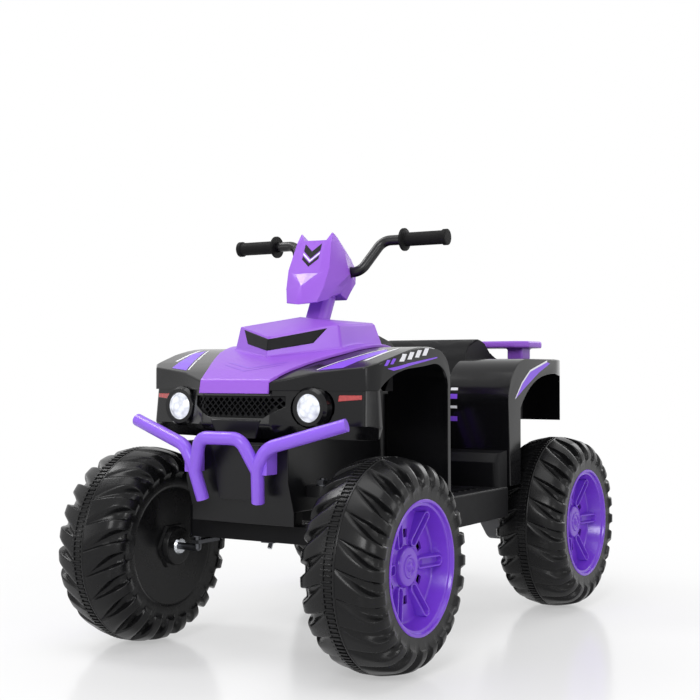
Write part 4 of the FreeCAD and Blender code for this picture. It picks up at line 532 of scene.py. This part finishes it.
def tread_rings():
    """Rings of the wheel skin from the inner bore to the outer bore, as lists of (across, radius, angle)."""
    count = sizes().lug_count
    step = 2 * math.pi / count
    depth = sizes().groove_depth / MM
    last = len(SHOULDER) - 1

    def shoulder_ring(side, index):
        across, radius = SHOULDER[index]
        before = SHOULDER[max(index - 1, 0)]
        after = SHOULDER[min(index + 1, last)]
        outward = Vector((before[1] - after[1], after[0] - before[0])).normalized()
        share, half, flank = groove_at(index / last)
        middle = (step / 2 if side > 0 else 0) - sizes().groove_sweep * across / SHOULDER[last // 2][0]
        ring = []
        for number in range(count):
            for place, fall in groove_columns(half, flank, step * radius):
                sink = depth * share * fall
                angle = middle + number * step + place / radius
                ring.append((side * (across - outward.x * sink), radius - outward.y * sink, angle))
        return ring

    def plain_ring(point, like):
        return [(*point, angle) for _, _, angle in like]

    inner = [shoulder_ring(-1, index) for index in range(last, -1, -1)]
    outer = [shoulder_ring(1, index) for index in range(last + 1)]
    band = [plain_ring((-BAND_HALF, BAND_RADIUS), inner[-1]), plain_ring((BAND_HALF, BAND_RADIUS), outer[0])]
    disc = [plain_ring(point, inner[0]) for point in INNER_DISC]
    dish = [plain_ring(point, outer[-1]) for point in DISH]
    return [*disc, *inner, *band, *outer, *dish]


def side_of(where):
    """1 for a left wheel, -1 for a right one."""
    return 1 if where.endswith("left") else -1


def wheel_place(where):
    """Wheel frame to vehicle frame: outwards is +X of the wheel."""
    low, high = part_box("tyre_" + where)
    middle = (low + high) / 2
    side = side_of(where)
    turn = Matrix.Rotation(0 if side > 0 else math.pi, 4, "Z")
    return Matrix.Translation((side * WHEEL_ACROSS * MM, middle.y, middle.z)) @ turn


def wheel_point(across, radius, angle):
    return Vector((across, -radius * math.cos(angle), radius * math.sin(angle))) * MM


def tyre_mesh():
    """The wheel skin as one grid bent round the axle, with grooves sunk between its tread bars."""
    rings = tread_rings()
    around = len(rings[0])
    bm = bmesh.new()
    bmesh.ops.create_grid(bm, x_segments=around, y_segments=len(rings) - 1, size=1)
    for vert in bm.verts:
        column = round((vert.co.x + 1) / 2 * around) % around
        row = round((vert.co.y + 1) / 2 * (len(rings) - 1))
        vert.co = wheel_point(*rings[row][column])
    bmesh.ops.remove_doubles(bm, verts=bm.verts, dist=WELD)
    ends = [edge for edge in bm.edges if edge.is_boundary]
    bmesh.ops.bridge_loops(bm, edges=ends)
    bmesh.ops.recalc_face_normals(bm, faces=bm.faces)
    return bm


def repeat_round(bm, count):
    """Copies a whole mesh round the axle."""
    turn = 2 * math.pi * (count - 1) / count
    bmesh.ops.spin(bm, geom=everything(bm), angle=turn, steps=count - 1, use_duplicate=True, **SPIN)
    bmesh.ops.recalc_face_normals(bm, faces=bm.faces)


def band_mesh(bead_side):
    """Fine ribs across most of the centre band, a smooth bead beside them and the flange round the boss."""
    bm = bmesh.new()
    rib = bmesh.ops.create_cube(bm, size=1)["verts"]
    bmesh.ops.scale(bm, vec=Vector(RIB_SIZE) * MM, verts=rib)
    top = [edge for edge in bm.edges if all(vert.co.z > 0 for vert in edge.verts)]
    bevel(bm, top, RIB_ROUND * MM, 1)
    place = Vector((-RIB_ACROSS * bead_side, 0, BAND_RADIUS - RIB_SINK)) * MM
    bmesh.ops.translate(bm, vec=place, verts=bm.verts)
    repeat_round(bm, sizes().band_ribs)
    bead = bmesh.ops.create_circle(bm, cap_ends=False, radius=BEAD_RADIUS * MM, segments=BEAD_SIDES)["verts"]
    bmesh.ops.rotate(bm, cent=(0, 0, 0), matrix=Matrix.Rotation(math.pi / 2, 3, "X"), verts=bead)
    place = Vector((BEAD_ACROSS * bead_side, 0, BAND_RADIUS - BEAD_SINK)) * MM
    bmesh.ops.translate(bm, vec=place, verts=bead)
    edges = list({edge for vert in bead for edge in vert.link_edges})
    bmesh.ops.spin(bm, geom=edges, angle=2 * math.pi, steps=BEAD_STEPS, use_merge=True, **SPIN)
    turn = Matrix.Translation((FLANGE_ACROSS * MM, 0, 0)) @ Matrix.Rotation(math.pi / 2, 4, "Y")
    first, second = (radius * MM for radius in FLANGE_RADII)
    bmesh.ops.create_cone(
        bm, cap_ends=True, segments=FLANGE_SIDES, radius1=first, radius2=second, depth=FLANGE_THICK * MM,
        matrix=turn,
    )
    bmesh.ops.remove_doubles(bm, verts=bm.verts, dist=WELD)
    bmesh.ops.recalc_face_normals(bm, faces=bm.faces)
    return bm


def rim_turning():
    """The turned cover, with a vent through its floor between each two spokes."""
    bm = bmesh.new()
    points = [bm.verts.new(Vector((across, -radius, 0)) * MM) for across, radius in RIM_TURNING]
    edges = [bm.edges.new(pair) for pair in zip(points, points[1:])]
    bmesh.ops.spin(bm, geom=edges, angle=2 * math.pi, steps=RIM_STEPS, use_merge=True, **SPIN)
    bmesh.ops.remove_doubles(bm, verts=bm.verts, dist=WELD)
    low, high = (radius * MM for radius in VENT_RADII)
    reach = math.cos(VENT_HALF)
    for number in range(SPOKES):
        turn = (number + 0.5) * 2 * math.pi / SPOKES
        way = Vector((0, math.cos(turn), math.sin(turn)))
        hole = []
        for face in bm.faces:
            flat = face.calc_center_median()
            flat.x = 0
            if low < flat.length < high and flat.normalized().dot(way) > reach:
                hole.append(face)
        bmesh.ops.delete(bm, geom=hole, context="FACES")
        bmesh.ops.bridge_loops(bm, edges=[edge for edge in bm.edges if edge.is_boundary])
    bmesh.ops.recalc_face_normals(bm, faces=bm.faces)
    return bm


def spoke_mesh():
    """Long ribs with rounded ends and a slot in each, which rise from the hub to the wall."""
    bm = bmesh.new()
    ends = bmesh.ops.create_circle(bm, cap_ends=True, radius=SPOKE_HALF * MM, segments=SPOKE_SIDES)["verts"]
    for vert in ends:
        if vert.co.x > 0:
            vert.co.x += SPOKE_LENGTH * MM
    slot = list(bm.faces)
    bmesh.ops.inset_region(bm, faces=slot, thickness=SLOT_WALL * MM, use_boundary=True, use_even_offset=True)
    bmesh.ops.inset_region(
        bm, faces=slot, thickness=SLOT_DRAFT * MM, depth=-SLOT_DEPTH * MM, use_even_offset=True
    )
    across, start = (value * MM for value in SPOKE_START)
    rise = Matrix(((SPOKE_RISE, 0, 1, across), (1, 0, 0, start), (0, 1, 0, 0), (0, 0, 0, 1)))
    bmesh.ops.transform(bm, matrix=rise, verts=bm.verts)
    rim = [edge for edge in bm.edges if edge.is_boundary]
    foot = bmesh.ops.extrude_edge_only(bm, edges=rim)["geom"]
    for vert in foot:
        if isinstance(vert, bmesh.types.BMVert):
            vert.co = Vector((SPOKE_FOOT * MM, vert.co.y, vert.co.z * FOOT_SPREAD))
    bmesh.ops.holes_fill(bm, edges=[edge for edge in bm.edges if edge.is_boundary], sides=0)
    bmesh.ops.recalc_face_normals(bm, faces=bm.faces)
    above = (SPOKE_FOOT + 1) * MM
    raised = [edge for edge in bm.edges if edge.verts[0].co.x > above]
    crisp = [edge for edge in raised if edge.calc_face_angle() > SPOKE_CREASE]
    bevel(bm, crisp, SPOKE_ROUND * MM, 2)
    repeat_round(bm, SPOKES)
    return bm


def rim_mesh():
    whole = rim_turning()
    join(whole, spoke_mesh())
    return whole


class QUAD_OT_wheels(bpy.types.Operator):
    """Tyres with their tread, rim covers and bushes"""

    bl_idname = "quad.wheels"
    bl_label = "Wheels"

    def execute(self, context):
        for where in WHEELS:
            body = "wheel_" + where
            place = wheel_place(where)
            skin = tyre_mesh()
            bmesh.ops.transform(skin, matrix=place, verts=skin.verts)
            tyre = finish_piece("tyre_" + where + "_skin", skin, "hdpe_wheel_black", body, TREAD_SHARP)
            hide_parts("tyre_" + where)
            band = band_mesh(side_of(where))
            bmesh.ops.transform(band, matrix=place, verts=band.verts)
            finish_piece("tyre_" + where + "_band", band, "hdpe_wheel_black", body, BAND_SHARP)
            cover = rim_mesh()
            bmesh.ops.transform(cover, matrix=place, verts=cover.verts)
            rim = finish_piece("rim_" + where + "_cover", cover, "abs_rim_purple", body, RIM_SHARP)
            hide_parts("rim_" + where)
            coat("wheel_bush_" + where, "zinc_plated_steel")
        return {"FINISHED"}


# Stickers: films in a view's own plane, in millimetres, dropped along its depth on a dressed piece

TOP = Matrix.Identity(4)
LEFT = Matrix(((0, 0, 1, 0), (1, 0, 0, 0), (0, 1, 0, 0), (0, 0, 0, 1)))
FRONT = Matrix(((1, 0, 0, 0), (0, 0, -1, 0), (0, 1, 0, 0), (0, 0, 0, 1)))
STEER_UP = Vector((0, 0.449, 0.893))
STEER_BACK = Vector((0, 0.893, -0.449))
STEER_BASE = Vector((0, -338, 200)) * MM
FILM_STEPS = 22
# metres before the view's plane at which a film starts to drop
DROP_FROM = 1


def steer_view():
    """Sticker frame on the steering head: across, up the column, towards the front."""
    sides = Matrix((Vector((1, 0, 0)), STEER_UP, -STEER_BACK)).transposed().to_4x4()
    return Matrix.Translation(STEER_BASE) @ sides


def sticker_mesh(tree, view, corners):
    """A thin film of convex outline, dropped along the view's depth on a surface."""
    points = [Vector((across * MM, up * MM, 0)) for across, up in corners]
    middle = sum(points, Vector()) / len(points)
    reach = max((point - middle).length for point in points)
    bm = bmesh.new()
    shift = Matrix.Translation(middle)
    bmesh.ops.create_grid(bm, x_segments=FILM_STEPS, y_segments=FILM_STEPS, size=reach, matrix=shift)
    for first, second in zip(points, points[1:] + points[:1]):
        along = second - first
        outward = Vector((along.y, -along.x, 0))
        if outward.dot(middle - first) > 0:
            outward = -outward
        bmesh.ops.bisect_plane(bm, geom=everything(bm), plane_co=first, plane_no=outward, clear_outer=True)
    depth = view.to_3x3() @ Vector((0, 0, -1))
    missed = []
    for vert in bm.verts:
        start = view @ Vector((vert.co.x, vert.co.y, DROP_FROM))
        hit, normal, _, _ = tree.ray_cast(start, depth)
        if hit is None:
            missed.append(vert)
        else:
            vert.co = hit + normal * sizes().stripe_lift
    bmesh.ops.delete(bm, geom=missed, context="VERTS")
    return bm


def stickers(name, finish, view, outlines, node, partner=None):
    """Films of one finish on a rounded piece, and mirrored ones on its partner."""
    base = bmesh.new()
    base.from_mesh(bpy.data.objects[node + "_dressed"].data)
    tree = BVHTree.FromBMesh(base)
    base.free()
    whole = bmesh.new()
    for corners in outlines:
        join(whole, sticker_mesh(tree, view, corners))
    if partner:
        other = whole.copy()
        bmesh.ops.scale(other, vec=(-1, 1, 1), verts=other.verts)
        bmesh.ops.reverse_faces(other, faces=other.faces)
        finish_piece(name + "_right", other, finish, body_of(partner), FILM_SHARP)
        name += "_left"
    finish_piece(name, whole, finish, body_of(node), FILM_SHARP)


def chevron(half, top, drop, thick):
    """Two arms that meet on the middle."""
    left = ((-half, top), (-half, top - thick), (0, top - drop - thick), (0, top - drop))
    return left, tuple((-across, up) for across, up in left)


def slanted_bars(start, low, count, pitch, width, tall, climb, slant):
    """A row of slanted bars that climbs along a panel."""
    bars = []
    for number in range(count):
        left = start + number * pitch
        right = left + width
        base = low + number * climb
        bars.append(((left, base), (right, base), (right + slant, base + tall), (left + slant, base + tall)))
    return bars


FENDER_WEDGE = (((131, -362), (170, -352), (196, -258), (184, -240)),)
FENDER_LINES = (
    ((126, -360), (128.5, -361), (181, -240), (179, -236)),
    ((186, -318), (192, -316), (204, -236), (199, -228)),
)
LIP_STRIPE = (
    ((-326, 467), (-311, 458), (-246, 469), (-246, 473.5), (-310, 464)),
    ((-246, 469), (-152, 482), (-152, 484), (-246, 473.5)),
    *slanted_bars(start=-318, low=468.5, count=2, pitch=15, width=8, tall=9, climb=2.5, slant=8),
)
LIP_BARS = slanted_bars(start=-280, low=475.5, count=4, pitch=25, width=14, tall=12, climb=3.4, slant=10)
CRESCENT = (
    ((165, 409), (195, 436), (213, 431)),
    ((195, 436), (233, 459), (274, 457), (213, 431)),
    ((233, 459), (316, 478), (330, 475), (274, 457)),
)
CRESCENT_EDGE = (
    ((161, 408), (165, 409), (195, 436), (193, 439)),
    ((193, 439), (195, 436), (233, 459), (232, 462.5)),
    ((232, 462.5), (233, 459), (316, 478), (316, 481.5)),
)
STEP_BARS = slanted_bars(start=109, low=424, count=2, pitch=0, width=15, tall=5, climb=-34, slant=0)
STEP_BLOCKS = slanted_bars(start=109, low=408, count=2, pitch=0, width=15, tall=9, climb=-42, slant=0)
PANEL_SWEEPS = slanted_bars(start=-10, low=292, count=2, pitch=46, width=26, tall=88, climb=0, slant=56)
PANEL_LINES = slanted_bars(start=-20, low=292, count=2, pitch=46, width=4, tall=88, climb=0, slant=56)
HOOD_CHEVRONS = (
    *chevron(half=58, top=-338, drop=26, thick=4), *chevron(half=58, top=-350, drop=26, thick=2.5)
)
HEAD_CHEVRONS = (
    *chevron(half=17, top=505, drop=15, thick=14), *chevron(half=17, top=482, drop=15, thick=7)
)
HEAD_LINE = chevron(half=17, top=488, drop=15, thick=3.5)
# painted highlight: a pale triangle on the steering head, where light falls on one of its facets
HEAD_HIGHLIGHT = (((-24, 447), (24, 447), (0, 419)),)
FRONT_FENDERS = ("front_fender_left", "front_fender_right")
REAR_FENDERS = ("rear_fender_left", "rear_fender_right")
PANELS = ("side_panels", "side_panels")
HOOD = ("hood",)
HEAD = ("head_front",)
FILMS = (
    # name, finish, view, outlines, node and partner
    ("fender_wedge", "vinyl_purple", TOP, FENDER_WEDGE, FRONT_FENDERS),
    ("fender_lines", "vinyl_light", TOP, FENDER_LINES, FRONT_FENDERS),
    ("lip_stripe", "vinyl_purple", LEFT, LIP_STRIPE, FRONT_FENDERS),
    ("lip_bars", "vinyl_light", LEFT, LIP_BARS, FRONT_FENDERS),
    ("crescent", "vinyl_purple", LEFT, CRESCENT, REAR_FENDERS),
    ("crescent_edge", "vinyl_light", LEFT, CRESCENT_EDGE, REAR_FENDERS),
    ("step_bars", "vinyl_light", FRONT, STEP_BARS, REAR_FENDERS),
    ("step_wedge", "vinyl_purple", FRONT, STEP_BLOCKS, REAR_FENDERS),
    ("panel_sweeps", "vinyl_purple", LEFT, PANEL_SWEEPS, PANELS),
    ("panel_lines", "vinyl_light", LEFT, PANEL_LINES, PANELS),
    ("hood_chevrons", "vinyl_tone", TOP, HOOD_CHEVRONS, HOOD),
    ("head_chevrons", "vinyl_black", steer_view(), HEAD_CHEVRONS, HEAD),
    ("head_line", "vinyl_light", steer_view(), HEAD_LINE, HEAD),
    # painted highlight on a facet of the steering head
    ("head_painted_highlight", "pale_painted_highlight", steer_view(), HEAD_HIGHLIGHT, HEAD),
)


class QUAD_OT_stickers(bpy.types.Operator):
    """Plain stripes and chevrons on fenders, side panels, hood and steering head, and a painted highlight on
    the steering head
    """

    bl_idname = "quad.stickers"
    bl_label = "Stickers"

    def execute(self, context):
        for name, finish, view, outlines, nodes in FILMS:
            stickers(name, finish, view, outlines, *nodes)
        return {"FINISHED"}


# Body

GLOSS_BLACK = (
    "front_fender_left", "front_fender_right", "front_fascia", "rear_fender_left", "rear_fender_right",
    "rear_panel", "side_panels",
)
GRAINED_BLACK = ("footboard_left", "footboard_right", "centre_cover", "scoop_insert")
# block below the grille, in millimetres: half widths, heights and front faces of its top and bottom
CHIN_HALVES = (50, 37)
CHIN_HEIGHTS = (384, 353)
CHIN_FRONTS = (-404, -399)
CHIN_BACK = -376


def chin_mesh():
    """Tapered block that closes the undercut below the grille."""
    bm = bmesh.new()
    bmesh.ops.create_cube(bm, size=2)
    for vert in bm.verts:
        end = 0 if vert.co.z > 0 else 1
        depth = CHIN_FRONTS[end] if vert.co.y < 0 else CHIN_BACK
        vert.co = Vector((vert.co.x * CHIN_HALVES[end], depth, CHIN_HEIGHTS[end])) * MM
    round_edges(bm, sizes().panel_edge)
    return bm


class QUAD_OT_body(bpy.types.Operator):
    """Tub, panels, fenders, fascia, grille, seat, covers, hood, bull bar and rack"""

    bl_idname = "quad.body"
    bl_label = "Body"

    def execute(self, context):
        for node in GLOSS_BLACK:
            dress(node, "abs_gloss_black", sizes().panel_edge)
        for node in GRAINED_BLACK:
            dress(node, "pp_grain_black", sizes().small_edge)
        dress("chassis_tub", "pp_satin_black", sizes().small_edge)
        finish_piece("fascia_chin", chin_mesh(), "pp_satin_black", CHASSIS)
        dress("grille", "pp_grain_black", 0)
        dress("seat", "pp_grain_black", sizes().soft_edge)
        dress("hood", "pp_satin_purple", sizes().soft_edge)
        dress("bull_bar", "pp_bar_purple", sizes().small_edge)
        dress("rear_rack", "pp_satin_purple", sizes().soft_edge)
        return {"FINISHED"}


class QUAD_OT_lamps(bpy.types.Operator):
    """Headlight bezels, bowls and lenses, and the side reflectors"""

    bl_idname = "quad.lamps"
    bl_label = "Lamps"

    def execute(self, context):
        dress("headlight_bezels", "abs_gloss_black", 0)
        coat("headlight_bowls", "metallised_bowl")
        coat("headlight_lenses", "lamp_lens_lit")
        dress("side_reflectors", "acrylic_red", sizes().small_edge)
        return {"FINISHED"}


class QUAD_OT_steering(bpy.types.Operator):
    """Steering head, neck, handlebar, grips and switches"""

    bl_idname = "quad.steering"
    bl_label = "Steering"

    def execute(self, context):
        dress("head_front", "pp_satin_purple", sizes().soft_edge)
        dress("head_back", "pp_satin_purple", sizes().small_edge)
        dress("steering_neck", "pp_satin_purple", sizes().small_edge)
        coat("handlebar", "powder_coat_black")
        for node in ("grip_left", "grip_right"):
            dress(node, "grip_rubber", sizes().small_edge)
        dress("direction_rocker", "pp_grain_black", sizes().small_edge)
        coat("power_button", "acrylic_red")
        coat("horn_button", "pp_satin_purple")
        coat("steering_column", "zinc_plated_steel")
        return {"FINISHED"}


class QUAD_OT_running_gear(bpy.types.Operator):
    """Beam, knuckles, tie rod, axle, drive and pedal"""

    bl_idname = "quad.running_gear"
    bl_label = "Running gear"

    def execute(self, context):
        dress("front_beam", "pp_grain_black", sizes().small_edge)
        dress("kingpin_brackets", "powder_coat_black", sizes().small_edge)
        coat("steering_bush", "pp_grain_black")
        dress("accelerator_pedal", "pp_grain_black", sizes().small_edge)
        for node in ("gearboxes", "battery"):
            dress(node, "housing_grey", sizes().panel_edge)
        for node in ("knuckle_left", "knuckle_right", "kingpin_nuts_left", "kingpin_nuts_right", "tie_rod"):
            coat(node, "black_oxide_steel")
        for node in ("pedal_pin", "rear_axle", "rear_axle_nuts", "motors", "body_screws"):
            coat(node, "zinc_plated_steel")
        return {"FINISHED"}


# Stage, in metres

CAMERA_PLACE = (1.20884, -2.03181, 0.46059)
CAMERA_LOOK = (-0.5232, 0.8519, 0.0209)
CAMERA_LENS = 65.52
CAMERA_SENSOR = 36
CAMERA_SHIFT = (0.0043, -0.0081)
LAMPS = (
    # name, place, aim, size, power
    ("overhead_softbox", (0.1, -0.6, 2.6), (0, 0, 0.3), 1.6, 19),
    ("key_softbox", (1.0, -3.0, 1.7), (0, 0, 0.35), 1.0, 36),
    ("front_softbox", (-1.5, -2.4, 0.9), (0.1, 0.1, 0.35), 0.9, 5),
    ("left_softbox", (-1.5, -0.4, 2.3), (0, 0, 0.35), 0.7, 17),
    ("right_softbox", (2.4, -1.4, 0.75), (0, 0, 0.35), 0.6, 7),
    ("side_softbox", (2.6, 0.8, 1.3), (0, 0, 0.35), 0.9, 10),
    ("rear_softbox", (0.6, 2.4, 1.6), (0, 0, 0.35), 1.2, 14),
)
ROOM_LIGHT = 0.42
FLOOR_HALF = 12
FLOOR_ROUGH = 0.16
FLOOR_PATCH_MM = 400
FLOOR_SPREAD = 0.01
# share of plain white on the floor near the object, and the distances between which it turns white
FLOOR_WHITE = 0.42
FLOOR_FADE = (0.45, 1.3)


def background_ray(tree):
    """1 on camera, glossy and transmission rays, which see the plain background."""
    path = add_node(tree, "ShaderNodeLightPath").outputs
    seen = path["Is Camera Ray"]
    for ray in ("Is Glossy Ray", "Is Transmission Ray"):
        either = add_node(tree, "ShaderNodeMath", [(seen, 0), (path[ray], 1)], operation="MAXIMUM")
        seen = either.outputs[0]
    return seen


class QUAD_OT_stage(bpy.types.Operator):
    """Floor, softboxes, pale world and camera"""

    bl_idname = "quad.stage"
    bl_label = "Stage"

    def execute(self, context):
        scene = context.scene
        scene.view_settings.view_transform = "Standard"
        self.make_floor(scene)
        self.make_world(scene)
        for name, place, aim, size, power in LAMPS:
            lamp = bpy.data.lights.new(name, "AREA")
            lamp.size = size
            lamp.energy = power
            light = bpy.data.objects.new(name, lamp)
            light.location = place
            light.rotation_euler = (Vector(aim) - Vector(place)).to_track_quat("-Z", "Y").to_euler()
            scene.collection.objects.link(light)
        camera = bpy.data.objects.new("camera", bpy.data.cameras.new("camera"))
        camera.location = CAMERA_PLACE
        camera.rotation_euler = Vector(CAMERA_LOOK).to_track_quat("-Z", "Y").to_euler()
        camera.data.sensor_width = CAMERA_SENSOR
        camera.data.lens = CAMERA_LENS
        camera.data.shift_x, camera.data.shift_y = CAMERA_SHIFT
        scene.collection.objects.link(camera)
        scene.camera = camera
        return {"FINISHED"}

    def make_floor(self, scene):
        """A wide pale floor that turns into the plain background away from the object."""
        bm = bmesh.new()
        bmesh.ops.create_grid(bm, x_segments=1, y_segments=1, size=FLOOR_HALF)
        mesh = bpy.data.meshes.new("floor")
        bm.to_mesh(mesh)
        bm.free()
        floor = bpy.data.objects.new("floor", mesh)
        scene.collection.objects.link(floor)
        # painted floor: nearly white, with a soft reflection of the wheels
        paint, tree, shader, place = new_material("studio_floor")
        tone = patchy_colour(tree, place, FLOOR_PATCH_MM, colours().floor, FLOOR_SPREAD)
        tree.links.new(tone, shader.inputs["Base Color"])
        set_shader(shader, Roughness=FLOOR_ROUGH)
        white = add_node(tree, "ShaderNodeEmission", Color=(1, 1, 1, 1), Strength=1.0)
        distance = add_node(tree, "ShaderNodeVectorMath", [(place, 0)], operation="LENGTH")
        near, far = FLOOR_FADE
        fade = add_node(
            tree, "ShaderNodeMapRange", [(distance.outputs["Value"], "Value")],
            interpolation_type="SMOOTHSTEP", From_Min=near, From_Max=far, To_Min=FLOOR_WHITE,
        )
        amount = add_node(
            tree, "ShaderNodeMath", [(fade.outputs["Result"], 0), (background_ray(tree), 1)],
            operation="MULTIPLY",
        )
        mix = add_node(
            tree, "ShaderNodeMixShader",
            [(amount.outputs[0], "Fac"), (shader.outputs[0], 1), (white.outputs[0], 2)],
        )
        tree.links.new(mix.outputs[0], tree.nodes["Material Output"].inputs["Surface"])
        floor.data.materials.append(paint)

    def make_world(self, scene):
        """White to the eye, dimmer as a light."""
        world = bpy.data.worlds.new("pale_room")
        world.use_nodes = True
        tree = world.node_tree
        room = tree.nodes["Background"]
        room.inputs["Color"].default_value = (1, 1, 1, 1)
        strength = add_node(
            tree, "ShaderNodeMapRange", [(background_ray(tree), "Value")], To_Min=ROOM_LIGHT, To_Max=1.0
        )
        tree.links.new(strength.outputs["Result"], room.inputs["Strength"])
        scene.world = world


OPERATORS = (
    QUAD_OT_wheels,
    QUAD_OT_body,
    QUAD_OT_lamps,
    QUAD_OT_steering,
    QUAD_OT_running_gear,
    QUAD_OT_stickers,
    QUAD_OT_stage,
)


class QUAD_PT_pieces(bpy.types.Panel):
    """Lists the quad bike's pieces"""

    bl_idname = "QUAD_PT_pieces"
    bl_label = "Quad Bike"
    bl_space_type = "VIEW_3D"
    bl_region_type = "UI"
    bl_category = "Quad Bike"

    def draw(self, context):
        for operator in OPERATORS:
            self.layout.operator(operator.bl_idname)
        for group in (context.scene.quad_sizes, context.scene.quad_colours):
            for name in group.bl_rna.properties.keys():
                if name not in ("rna_type", "name"):
                    self.layout.prop(group, name)


CLASSES = (QuadColours, QuadSizes, *OPERATORS, QUAD_PT_pieces)


def register():
    for item in CLASSES:
        bpy.utils.register_class(item)
    bpy.types.Scene.quad_colours = PointerProperty(type=QuadColours)
    bpy.types.Scene.quad_sizes = PointerProperty(type=QuadSizes)


def unregister():
    del bpy.types.Scene.quad_sizes
    del bpy.types.Scene.quad_colours
    for item in reversed(CLASSES):
        bpy.utils.unregister_class(item)


def main():
    register()
    for operator in OPERATORS:
        group, name = operator.bl_idname.split(".")
        getattr(getattr(bpy.ops, group), name)()


if __name__ == "__main__":
    main()
